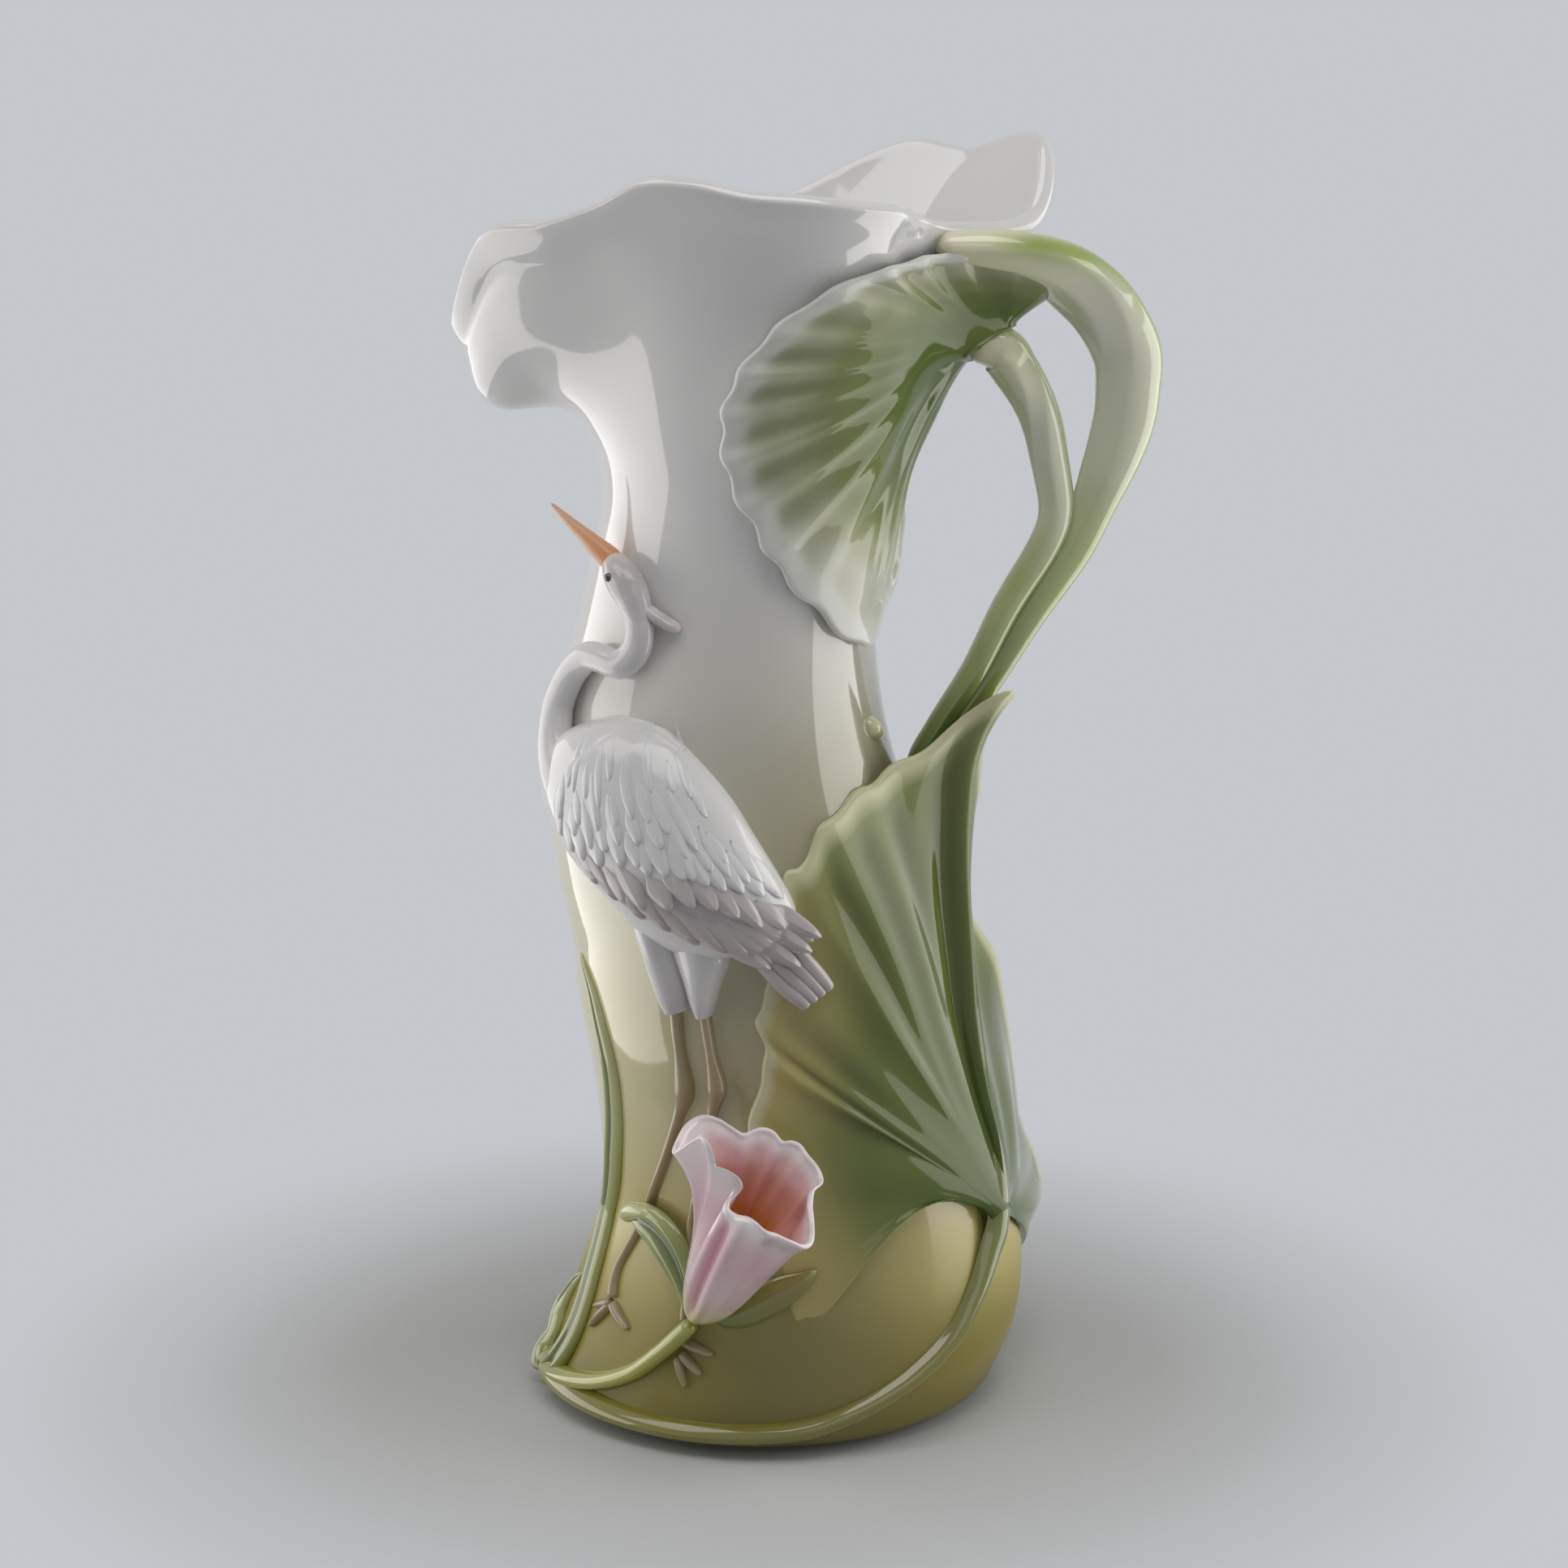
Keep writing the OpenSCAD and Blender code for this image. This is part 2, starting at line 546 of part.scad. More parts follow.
// Feather on the egret's back, from one place to another, with half its width as a share across
function feather(from, to, half) =
    [for (k = [0 : len(feather_shares) - 1])
        let (place = mix(from, to, k / (len(feather_shares) - 1)), w = half * feather_shares[k])
        [for (x = [-1, 0, 1]) on_egret(place[0], place[1] + w * x, seat_gap + feather_t * (1 - x * x / 2)),
            for (x = [1, 0, -1]) on_egret(place[0], place[1] + w * x, seat_gap)]];

// First covert, step from one to the next, and covert length: shares along and across the egret
covert_first_shares = [2.3, -0.42];
covert_step_shares = [0.62, 0.26];
covert_length_shares = [0.52, 0.02];
covert_half_share = 0.11;
covert_rows = 3;
covert_columns = 5;

module wing_coverts() {
    color([0.84, 0.83, 0.85])
        skinned([for (row = [0 : covert_rows - 1], k = [0 : covert_columns - 1])
            let (root = covert_first_shares + [covert_step_shares[0] * row, covert_step_shares[1] * k])
            feather(root, root + covert_length_shares, covert_half_share)]);
}

// The long feathers: first root, first tip, and the steps to the next
long_root_shares = [4.2, -0.5];
long_tip_shares = [5.7, -0.41];
long_root_step_shares = [0, 0.23];
long_tip_step_shares = [0.08, 0.207];
long_half_share = 0.095;
long_count = 6;

module wing_feathers() {
    color([0.74, 0.71, 0.72])
        skinned([for (k = [0 : long_count - 1])
            let (root = long_root_shares + k * long_root_step_shares,
                tip = long_tip_shares + k * long_tip_step_shares)
            feather(root, tip, long_half_share)]);
}

// Tail feathers, spread like fingers past the body's end and seated over the leaf
tail_shares = [[283.5, 0.556, 0.7, 0.7, 1], [286, 0.538, 1, 1, 1], [288.6, 0.518, 0.9, 0.8, 1],
    [290, 0.506, 0.4, 0.4, 1]];
tail_step_shares = [-2.4, -0.008, 0, 0, 0];
tail_count = 4;

module tail_feathers() {
    color([0.74, 0.71, 0.72])
        skinned([for (k = [0 : tail_count - 1])
            relief([for (row = tail_shares) row + k * tail_step_shares], toe_w, toe_t, 2, 4,
                leaf_t + pleat_h / 2 + 2 * seat_gap)]);
}

egret_neck_shares = [[205.5, 0.702, 0, 0.8], [205, 0.727, 0, 0.95], [204.5, 0.752, 0, 1],
    [204, 0.78, 0, 0.95], [206.5, 0.813, 0, 0.9], [214.6, 0.835, 0, 0.86], [223.6, 0.836, 0, 0.84],
    [232.5, 0.834, 0, 0.84], [237.8, 0.85, 0, 0.84], [238, 0.87, 0, 0.82], [235.5, 0.889, 0, 0.75]];
egret_head_shares = [[234, 0.898, 0, 0.6], [231.5, 0.914, 0, 1], [226.5, 0.925, 0, 1],
    [221, 0.931, 0, 0.7]];

module egret_neck() {
    color([0.90, 0.90, 0.90])
        skinned([stem(egret_neck_shares, 0, egret_neck_d, egret_neck_d, 3, 10)]);
}

module egret_head() {
    color([0.88, 0.87, 0.87])
        skinned([stem(egret_head_shares, 0, egret_head_d, egret_head_d, 3, 12)]);
}

module egret_beak() {
    beak_shares = [[217.5, 0.9392, 0.03, 0.95], [208.5, 0.961, 0.45, 0.6], [197, 0.988, 1, 0.14]];
    color([0.88, 0.60, 0.42])
        skinned([stem(beak_shares, beak_reach, beak_d, beak_d, 3, 10)]);
}

// Row of the head that carries the eye
eye_place = 2.4;

module egret_eye() {
    row = along(egret_head_shares, eye_place);
    color([0.08, 0.07, 0.07])
        translate(on_wall(row[0], row[1], 4 * seat_gap + egret_head_d * row[3] + eye_d / 2))
            sphere(d = eye_d, $fn = 24);
}

module egret_crest() {
    crest_shares = [[240.5, 0.897, 0.5, 0.7, 0], [245, 0.885, 1, 1, 0], [249, 0.878, 0.8, 0.8, 0],
        [252, 0.873, 0.2, 0.3, 0]];
    color([0.80, 0.78, 0.78])
        skinned([relief(crest_shares, crest_w, crest_t, 2, 4)]);
}

module egret_thighs() {
    far_thigh_shares = [[239.5, 0.523, 0.9, 0.9, 0], [242.3, 0.502, 1, 1, 0], [243.7, 0.478, 0.55, 0.6, 0]];
    near_thigh_shares = [[255.5, 0.516, 0.9, 0.9, 0], [254.3, 0.498, 1, 1, 0],
        [252.6, 0.474, 0.55, 0.6, 0]];
    color([0.90, 0.90, 0.91])
        skinned([for (shares = [far_thigh_shares, near_thigh_shares])
            relief(shares, thigh_w, thigh_t, 3, 5)]);
}

module far_leg() {
    leg_shares = [[243.6, 0.471, 0.65, 0.8, 0], [242.8, 0.42, 0.65, 0.8, 0], [241.5, 0.382, 1, 1, 0],
        [238, 0.355, 0.6, 0.7, 0], [229, 0.295, 0.5, shank_share, 0], [221, 0.243, 0.5, shank_share, 0],
        [211.5, 0.17, 0.5, shank_share, 0], [212.5, 0.135, 0.6, 0.7, 0]];
    color([0.58, 0.50, 0.38])
        skinned([relief(leg_shares, leg_w, leg_t, 3, 4)]);
}

module near_leg() {
    leg_shares = [[252.4, 0.467, 0.65, 0.8, 0], [252.6, 0.424, 0.65, 0.8, 0], [252, 0.39, 1, 1, 0],
        [249, 0.362, 0.6, 0.7, 0], [243, 0.3, 0.5, shank_share, 0], [237.8, 0.252, 0.5, shank_share, 0],
        [236, 0.22, 0.5, shank_share, 0], [237.5, 0.16, 0.5, shank_share, 0],
        [238.5, 0.132, 0.5, shank_share, 0]];
    color([0.58, 0.50, 0.38])
        skinned([relief(leg_shares, leg_w, leg_t, 3, 4)]);
}

// Foot of separate toes, each from its root to its tip: angle and height share
far_toe_shares = [[[210.5, 0.124], [205.5, 0.112]], [[212, 0.118], [206.5, 0.09]],
    [[215, 0.122], [222, 0.106]]];
near_toe_shares = [[[242.5, 0.109], [248.5, 0.103]], [[242.5, 0.096], [247, 0.08]],
    [[239.8, 0.092], [244, 0.064]]];
// Width and rise of a toe at its root, middle and tip
toe_form_shares = [[0.7, 0.8, 0], [1, 1, 0], [0.4, 0.4, 0]];

function toe_rows(ends) =
    [for (k = [0 : 2]) [each mix(ends[0], ends[1], k / 2), each toe_form_shares[k]]];

module toes(all_ends) {
    color([0.55, 0.47, 0.34])
        skinned([for (ends = all_ends) relief(toe_rows(ends), toe_w, toe_t, 2, 4)]);
}

module far_foot() {
    toes(far_toe_shares);
}

module near_foot() {
    toes(near_toe_shares);
}

vessel_body();
foot_ring();
outer_stem();
inner_stem();
stem_nub();
upper_leaf();
lower_leaf();
base_runner();
tall_blade();
short_blade();
flower_stem();
folded_leaf();
sepal_leaf();
flower();
egret_body();
wing_coverts();
wing_feathers();
tail_feathers();
egret_neck();
egret_head();
egret_beak();
egret_eye();
egret_crest();
egret_thighs();
far_leg();
near_leg();
far_foot();
near_foot();
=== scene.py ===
# %% [markdown]
# # A porcelain ewer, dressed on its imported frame
# The ewer is one firing of white porcelain: a winding hollow body with a petal mouth, and plants and an egret that
# were stuck to its wall with slip and then glazed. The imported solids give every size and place. This lesson lays
# finer skins over them, with the pleats, feathers and airbrushed glazes that the solids leave out.

# %% Load the frame
import math

import bmesh
import bpy
import numpy as np
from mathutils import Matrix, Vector
from mathutils.bvhtree import BVHTree


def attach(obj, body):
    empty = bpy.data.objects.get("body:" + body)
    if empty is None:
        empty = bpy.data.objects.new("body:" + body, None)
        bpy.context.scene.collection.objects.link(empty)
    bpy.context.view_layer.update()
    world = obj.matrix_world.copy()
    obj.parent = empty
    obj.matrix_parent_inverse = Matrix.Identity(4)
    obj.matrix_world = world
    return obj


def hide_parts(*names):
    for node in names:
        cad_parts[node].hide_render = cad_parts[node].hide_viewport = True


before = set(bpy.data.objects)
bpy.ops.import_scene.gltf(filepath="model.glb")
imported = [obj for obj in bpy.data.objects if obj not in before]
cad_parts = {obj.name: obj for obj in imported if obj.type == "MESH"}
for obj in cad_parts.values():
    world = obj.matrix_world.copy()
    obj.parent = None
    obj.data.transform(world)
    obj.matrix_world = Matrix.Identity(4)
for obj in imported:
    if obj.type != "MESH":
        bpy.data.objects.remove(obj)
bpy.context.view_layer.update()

# %% [markdown]
# ## Camera
# The picture was taken from a little above the mouth with a long lens, so upright lines hardly converge. A camera
# could be fitted by eye, but the ellipse of the foot and the rim's height give its tilt and distance, and those
# numbers go in directly.

# %% Camera
camera_place = Vector((0.0046, -1.313, 0.517))
camera_tilt = math.radians(90 - 15.4)
camera_data = bpy.data.cameras.new("camera")
camera_data.sensor_width = 36
camera_data.lens = 126.9
camera = bpy.data.objects.new("camera", camera_data)
camera.location = camera_place
camera.rotation_euler = (camera_tilt, 0, 0)
bpy.context.scene.collection.objects.link(camera)
bpy.context.scene.camera = camera
bpy.context.scene.view_settings.view_transform = "Standard"
print("camera with a", camera_data.lens, "mm lens")

# %% [markdown]
# ## The wall as a formula
# Every leaf, feather and toe follows the wall, so the wall is worth a formula of its own. Sections at even heights
# hold the place of the winding axis and the radius, a smooth curve runs through them, and the mouth adds a table of
# reach and rise round the rim. Laying a piece on a formula is exact at any height, where shrinkwrapping it to a mesh
# would pick up the facets.

# %% Curves through tables
def spline(a, b, c, d, f):
    return b + f / 2 * (c - a + f * (2 * a - 5 * b + 4 * c - d + f * (3 * (b - c) + d - a)))


def mix(a, b, f):
    return a + (b - a) * f


def smooth(low, high, x):
    f = np.clip((x - low) / (high - low), 0, 1)
    return f * f * (3 - 2 * f)


def bell(x, width):
    return np.exp(-(x / width) ** 2)


def along(rows, u):
    """Row at place u of a table, smoothed between its rows."""
    rows = np.asarray(rows, float)
    last = len(rows) - 1
    k = np.clip(np.floor(u).astype(int), 0, last - 1)
    f = u - k
    near = [rows[np.clip(k + step, 0, last)] for step in (-1, 0, 1, 2)]
    return spline(*near, f[..., None] if rows.ndim > 1 else f)


def around(shares, angle):
    """Value at an angle of a table that goes round the mouth in even steps."""
    shares = np.asarray(shares, float)
    u = angle * len(shares) / 360
    k = np.floor(u).astype(int)
    near = [shares[(k + step) % len(shares)] for step in (-1, 0, 1, 2)]
    return spline(*near, u - k)


def unit(v):
    return v / np.linalg.norm(v, axis=-1, keepdims=True)


# %% [markdown]
# Sizes in metres drive the wall, and the tables are only shares of them: the lean of the axis and the radius up the
# body, then the reach and the rise round the mouth. A potter's template would hold the same numbers.

# %% Sections of the body and mouth
foot_h, throat_h = 0.002, 0.232
belly_r, neck_r, lean = 0.057, 0.035, 0.014
mouth_reach, mouth_rise = 0.070, 0.080
wall_t, lip_t, floor_t, base_edge = 0.004, 0.0035, 0.006, 0.004
lean_shares = np.array([0, 0.44, 0.69, 0.76, 0.60, 0.35, 0.09, -0.10, -0.37, -0.61, -0.78, -0.79, -0.67, -0.48,
                        -0.32])
radius_shares = np.array([0.98, 0.99, 0.9, 0.74, 0.67, 0.6, 0.57, 0.53, 0.51, 0.44, 0.31, 0.18, 0.06, 0.02, 0.01])
rim_reach_shares = [0.98, 1.06, 0.92, 0.84, 0.74, 0.70, 0.68, 0.68, 0.69, 0.72, 0.80, 0.92,
                    1.00, 0.92, 0.79, 0.71, 0.69, 0.68, 0.685, 0.70, 0.705, 0.695, 0.67, 0.72]
rim_rise_shares = [0.79, 0.985, 0.92, 0.93, 0.855, 0.77, 0.71, 0.68, 0.67, 0.67, 0.66, 0.60,
                   0.47, 0.77, 0.83, 0.90, 0.98, 0.985, 0.955, 0.94, 0.915, 0.885, 0.84, 0.79]
mouth_axis = -0.30 * lean
root_out, flare_out, flare_up = 0.19, 0.50, 0.68
pour_out, pour_down = 0.19, 0.16
slope_step = 0.02
halvings = 18
last_row = len(lean_shares) - 1
rim_row = last_row + 3
row_step = (throat_h - foot_h) / last_row


def section_row(k, angle):
    """Axis, radius and height of row k: the body's rows, then three of the mouth and one past the rim."""
    kk = np.clip(k, 0, last_row)
    body = np.stack([lean * lean_shares[kk], mix(neck_r, belly_r, radius_shares[kk]), foot_h + k * row_step], -1)
    reach = mouth_reach * around(rim_reach_shares, angle)
    height = throat_h + mouth_rise * around(rim_rise_shares, angle)
    pour = np.maximum(0, -np.cos(np.radians(angle))) ** 6
    axis = np.full_like(reach, mouth_axis)
    rim = np.stack([axis, reach, height], -1)
    root = np.stack([axis, mix(neck_r, reach, root_out), np.full_like(reach, throat_h + row_step)], -1)
    flare = np.stack([axis, mix(neck_r, reach, flare_out + pour_out * pour),
                      mix(throat_h, height, flare_up - pour_down * pour)], -1)
    past = k[..., None] - last_row
    return np.where(past <= 0, body, np.where(past == 1, root, np.where(past == 2, flare,
                    np.where(past == 3, rim, 2 * rim - flare))))


def section(angle, u):
    k = np.minimum(np.floor(u).astype(int), rim_row - 1)
    return spline(*[section_row(k + step, angle) for step in (-1, 0, 1, 2)], (u - k)[..., None])


def edge_inset(z):
    d = base_edge - np.maximum(0, z - foot_h)
    return np.where(d <= 0, 0, base_edge - np.sqrt(np.maximum(0, base_edge ** 2 - d ** 2)))


def round_axis(axis, r, angle, z):
    """Point at a height, at a radius and an angle from the axis."""
    turn = np.radians(angle)
    return np.stack([axis + r * np.cos(turn), r * np.sin(turn), z], -1)


def wall_point(angle, u, depth):
    """Point at row place u, moved in by depth square to the wall's slope."""
    s = section(angle, u)
    slope = section(angle, u + slope_step) - section(angle, u - slope_step)
    tilt = np.hypot(slope[..., 1], slope[..., 2])
    r = s[..., 1] - edge_inset(s[..., 2]) - depth * slope[..., 2] / tilt
    return round_axis(s[..., 0], r, angle, s[..., 2] + depth * slope[..., 1] / tilt)


def place_of(z, angle):
    """Row place of a height, found by halving where the mouth's rows aren't even."""
    low = np.full(np.shape(z), float(last_row))
    high = np.full(np.shape(z), float(rim_row))
    for _ in range(halvings):
        mid = (low + high) / 2
        below = section(angle, mid)[..., 2] < z
        low, high = np.where(below, mid, low), np.where(below, high, mid)
    return np.where(z <= throat_h, np.maximum(0, (z - foot_h) / row_step), low)


def on_wall(angle, share, lift):
    """Point at an angle and a share of the throat's height, raised level from the wall."""
    angle, share, lift = np.broadcast_arrays(np.asarray(angle, float), np.asarray(share, float),
                                             np.asarray(lift, float))
    z = foot_h + share * (throat_h - foot_h)
    s = section(angle, place_of(z, angle))
    r = s[..., 1] - edge_inset(z) + lift
    return round_axis(s[..., 0], r, angle, z)


def seated(p, lift):
    """The same for a point near the wall, which keeps its height and its direction from the axis."""
    z = np.maximum(foot_h, p[..., 2])
    axis = np.where(z > throat_h, mouth_axis, section(np.zeros_like(z), place_of(z, np.zeros_like(z)))[..., 0])
    angle = np.degrees(np.arctan2(p[..., 1], p[..., 0] - axis))
    r = section(angle, place_of(z, angle))[..., 1] - edge_inset(z) + lift
    return round_axis(axis, r, angle, z)


rim_heights = section(np.arange(360.0), np.full(360, float(rim_row)))[:, 2]
print("the rim's highest point is", round(1000 * float(rim_heights.max())), "mm up")

# %% [markdown]
# ## A helper that shapes a grid
# Most pieces are a flat grid that a formula bends into place: rolled into a stem, wrapped round a leaf's margin, or
# draped over the wall. Edges that meet are welded, any end that is still open is filled, and the normals are turned
# outwards. The formula also gives numbers to each vertex, such as how far along the leaf it is, and the glazes read
# them as attributes.

# %% Grids bent by a formula
weld = 1e-6


def bent_grid(bm, columns, rows, shape):
    """Adds a grid to bm and moves its vertices to shape(a, b), where a and b go from 0 to 1."""
    start = len(bm.verts)
    bmesh.ops.create_grid(bm, x_segments=columns, y_segments=rows, size=0.5)
    bm.verts.ensure_lookup_table()
    flat = np.array([v.co for v in bm.verts[start:]])
    points, marks = shape(flat[:, 0] + 0.5, flat[:, 1] + 0.5)
    for name in marks:
        if name not in bm.verts.layers.float:
            bm.verts.layers.float.new(name)
    layers = [bm.verts.layers.float[name] for name in marks]
    bm.verts.ensure_lookup_table()
    for v, p, *values in zip(bm.verts[start:], points, *marks.values()):
        v.co = p
        for layer, value in zip(layers, values):
            v[layer] = value


def formed(*grids):
    """Mesh of bent grids, each given as its columns, rows and shape."""
    bm = bmesh.new()
    for grid in grids:
        bent_grid(bm, *grid)
    return bm


def object_of(bm, name, material):
    """Object with the mesh of bm, shaded smooth and in one finish."""
    mesh = bpy.data.meshes.new(name)
    bm.to_mesh(mesh)
    bm.free()
    mesh.shade_smooth()
    mesh.materials.append(material)
    made = bpy.data.objects.new(name, mesh)
    bpy.context.scene.collection.objects.link(made)
    return made


def settle(bm, name, material, node):
    """Closes the mesh, makes the object and hangs it on the frame in place of the solid that it stands for."""
    bmesh.ops.remove_doubles(bm, verts=bm.verts, dist=weld)
    bmesh.ops.dissolve_degenerate(bm, edges=bm.edges, dist=weld)
    open_edges = [e for e in bm.edges if e.is_boundary]
    if open_edges:
        bmesh.ops.holes_fill(bm, edges=open_edges, sides=0)
    bmesh.ops.recalc_face_normals(bm, faces=bm.faces)
    piece = object_of(bm, name, material)
    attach(piece, "root")
    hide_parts(node)
    print(name, "has", len(piece.data.polygons), "faces")


def add_piece(name, material, slot, node, *grids):
    """Piece made of bent grids only."""
    settle(formed(*grids), name, material, node)


# %% [markdown]
# ## Glazes
# All the colours lie under one clear, wet-looking glaze. The painter airbrushed them, so they fade into each other,
# pool darker in the hollows and run thin and pale over the ridges. One recipe makes them all: a colour ramp that an
# attribute drives, clouded a little by noise, with a second colour mixed in where another attribute says so. The
# gloss comes from a low roughness that varies slightly, and a faint bump stands for the glaze's ripple. A glaze that
# was sprayed thin fires silky instead of wet, so the recipe can also fade the shine along the tone.

# %% Nodes that the finishes share
def paint(red, green, blue):
    """Colour from the usual 0 to 255 numbers, as light."""
    return [c / 255 / 12.92 if c <= 10 else ((c / 255 + 0.055) / 1.055) ** 2.4 for c in (red, green, blue)] + [1]


def feed(tree, node, inputs):
    """Links sockets to the node's inputs, and sets the inputs that get a plain value."""
    for key, value in inputs.items():
        if isinstance(value, bpy.types.NodeSocket):
            tree.links.new(value, node.inputs[key])
        else:
            node.inputs[key].default_value = value


def wire(tree, kind, inputs=(), **values):
    """New node with its values set and its inputs fed."""
    made = tree.nodes.new(kind)
    for name, value in values.items():
        setattr(made, name, value)
    feed(tree, made, dict(inputs))
    return made


def maths(tree, operation, *values, clamped=False):
    return wire(tree, "ShaderNodeMath", dict(enumerate(values)), operation=operation, use_clamp=clamped).outputs[0]


def noise(tree, spot, scale, detail):
    return wire(tree, "ShaderNodeTexNoise", {"Vector": spot, "Scale": scale, "Detail": detail}).outputs["Fac"]


def eased(tree, value, low, high, low_to, high_to):
    """Value moved softly from one range to another."""
    ends = {0: value, 1: low, 2: high, 3: low_to, 4: high_to}
    return wire(tree, "ShaderNodeMapRange", ends, interpolation_type="SMOOTHSTEP").outputs[0]


def colours(tree, place, stops, blend="LINEAR"):
    """Colour ramp, with stops of a position and a colour."""
    band = wire(tree, "ShaderNodeValToRGB", {"Fac": place})
    band.color_ramp.interpolation = blend
    while len(band.color_ramp.elements) < len(stops):
        band.color_ramp.elements.new(0.5)
    for element, (position, *colour) in zip(band.color_ramp.elements, stops):
        element.position = position
        element.color = paint(*colour)
    return band.outputs["Color"]


def new_finish(name):
    """Material, its nodes, its shader and the object's own coordinates."""
    material = bpy.data.materials.new(name)
    material.use_nodes = True
    tree = material.node_tree
    return material, tree, tree.nodes["Principled BSDF"], wire(tree, "ShaderNodeTexCoord").outputs["Object"]


# %% The glaze recipe
grain_scale, swell_scale = 260, 110
ripple_depth, flesh_depth = 0.0006, 0.002
coat_roughness = 0.03
silk_roughness, silk_coat, silk_specular, full_specular = 0.25, 0.05, 0.2, 0.5


def glaze(name, ramp, tints=(), cloud=0.06, cloud_scale=45, gloss=(0.05, 0.12), ripple=0.04, coat=0.8, flesh=0.0,
          index=1.5, satin=None):
    """Glaze whose colours follow the attribute "tone". Each tint is an attribute and the colour that it mixes in.
    Satin is the range of the tone over which the shine comes up, if the glaze has a silky end."""
    material, tree, shader, spot = new_finish(name)
    tone = wire(tree, "ShaderNodeAttribute", attribute_name="tone").outputs["Fac"]
    drift = maths(tree, "MULTIPLY_ADD", noise(tree, spot, cloud_scale, 3), cloud, -cloud / 2)
    colour = colours(tree, maths(tree, "ADD", tone, drift), ramp, "EASE")
    for attribute, *tint in tints:
        amount = wire(tree, "ShaderNodeAttribute", attribute_name=attribute).outputs["Fac"]
        blend = wire(tree, "ShaderNodeMix", {0: amount, 6: colour, 7: paint(*tint)}, data_type="RGBA")
        colour = blend.outputs[2]
    grain = noise(tree, spot, grain_scale, 2)
    sheen = wire(tree, "ShaderNodeMapRange", {0: grain, 3: gloss[0], 4: gloss[1]}).outputs[0]
    if satin:
        sheen = maths(tree, "ADD", sheen, eased(tree, tone, *satin, silk_roughness, 0.0))
    swell = noise(tree, spot, swell_scale, 1)
    bump = wire(tree, "ShaderNodeBump", {"Height": swell, "Strength": ripple, "Distance": ripple_depth})
    feed(tree, shader, {
        "Base Color": colour, "Roughness": sheen, "Normal": bump.outputs["Normal"], "IOR": index,
        "Coat Weight": coat, "Coat Roughness": coat_roughness, "Subsurface Weight": flesh,
        "Subsurface Scale": flesh_depth})
    if satin:
        feed(tree, shader, {"Coat Weight": eased(tree, tone, *satin, silk_coat, coat),
                            "Specular IOR Level": eased(tree, tone, *satin, silk_specular, full_specular)})
    return material


# %% [markdown]
# ## Vessel
# The body was cast hollow in a plaster mould. A lathe-like spin can't make it, because the axis winds and the mouth
# isn't round, so the grid is rolled up instead: one side runs round the axis and the other runs from the middle of
# the underside, up the wall, over the rounded lip and down inside to the floor. The airbrush drifted past the large
# leaf's margin, so the wall carries a haze of green along it. The haze is also spread wider and greyer than the
# airbrush alone, as painted shade that darkens the wall between the egret and the leaf.

# %% Vessel mesh
vessel_sides = 240
floor_rings = 4
lip_steps = 10
outer_places = np.concatenate([np.linspace(0, 0.25, 14), np.linspace(0.3, 13.5, 100), np.linspace(13.6, rim_row, 60)])
floor_place = (floor_t + base_edge) / row_step
inner_places = np.concatenate([np.linspace(rim_row, 13.6, 40), np.linspace(13.5, floor_place, 40)])
vessel_rows = 2 * floor_rings + len(outer_places) + lip_steps + len(inner_places)


def bead(u):
    """The lip is a little thicker than the wall below it."""
    return 0.0015 * bell(u - rim_row + 0.02, 0.30)


def pinched(angle, u):
    """How far the pouring lip swells below its edge, and how deep it is creased and dimpled by the potter's fingers."""
    swell = 0.0034 * bell(angle - 183, 22) * bell(u - 16.25, 0.42)
    crease = 0.0013 * bell(angle - 196, 15) * bell(u - 16.72 + 0.004 * (angle - 190), 0.07)
    dimple = 0.0014 * bell(angle - 214, 13) * bell(u - 16.55, 0.36)
    return swell - crease - dimple


def vessel_row(j, angle):
    """Points round the axis for row j of the rolled grid, and whether they are inside."""
    full = np.full_like(angle, 1.0)
    if j <= floor_rings:
        edge = wall_point(angle, 0 * full, 0)
        return edge * np.array([j / floor_rings, j / floor_rings, 1]), 0
    j -= floor_rings + 1
    if j < len(outer_places):
        u = outer_places[j]
        return wall_point(angle, u * full, -bead(u) - pinched(angle, u)), 0
    j -= len(outer_places)
    if j < lip_steps:
        outer = wall_point(angle, rim_row * full, -bead(rim_row) - pinched(angle, rim_row))
        inner = wall_point(angle, rim_row * full, lip_t)
        below = wall_point(angle, (rim_row - 0.3) * full, -bead(rim_row))
        turn = math.pi * (j + 1) / (lip_steps + 1)
        middle = (outer + inner) / 2
        return middle + (outer - middle) * math.cos(turn) + unit(outer - below) * lip_t / 2 * math.sin(turn), 0
    j -= lip_steps
    if j < len(inner_places):
        u = inner_places[j]
        depth = wall_t if u < last_row else mix(wall_t, lip_t, (u - last_row) / (rim_row - last_row))
        return wall_point(angle, u * full, depth), 1
    j -= len(inner_places) - 1
    edge = wall_point(angle, floor_place * full, wall_t)
    flat = np.array([[0, 0, foot_h + floor_t]])
    share = (1 - j / floor_rings) * np.array([1, 1, 1 - smooth(0, 0.5, j / floor_rings)])
    return flat + (edge - flat) * share, 1


lower_margin = [
    (-89, 0.125), (-93, 0.22), (-96, 0.30), (-98, 0.36), (-89, 0.44), (-88, 0.483), (-80, 0.515), (-73, 0.55),
    (-72, 0.615), (-65, 0.635), (-53, 0.67), (-33, 0.695), (-14, 0.71)]
# Reach and strength of the haze along the lower leaf's margin: partly airbrushed green, partly painted shade.
haze_and_shade_reach, haze_and_shade_share = 0.036, 0.75


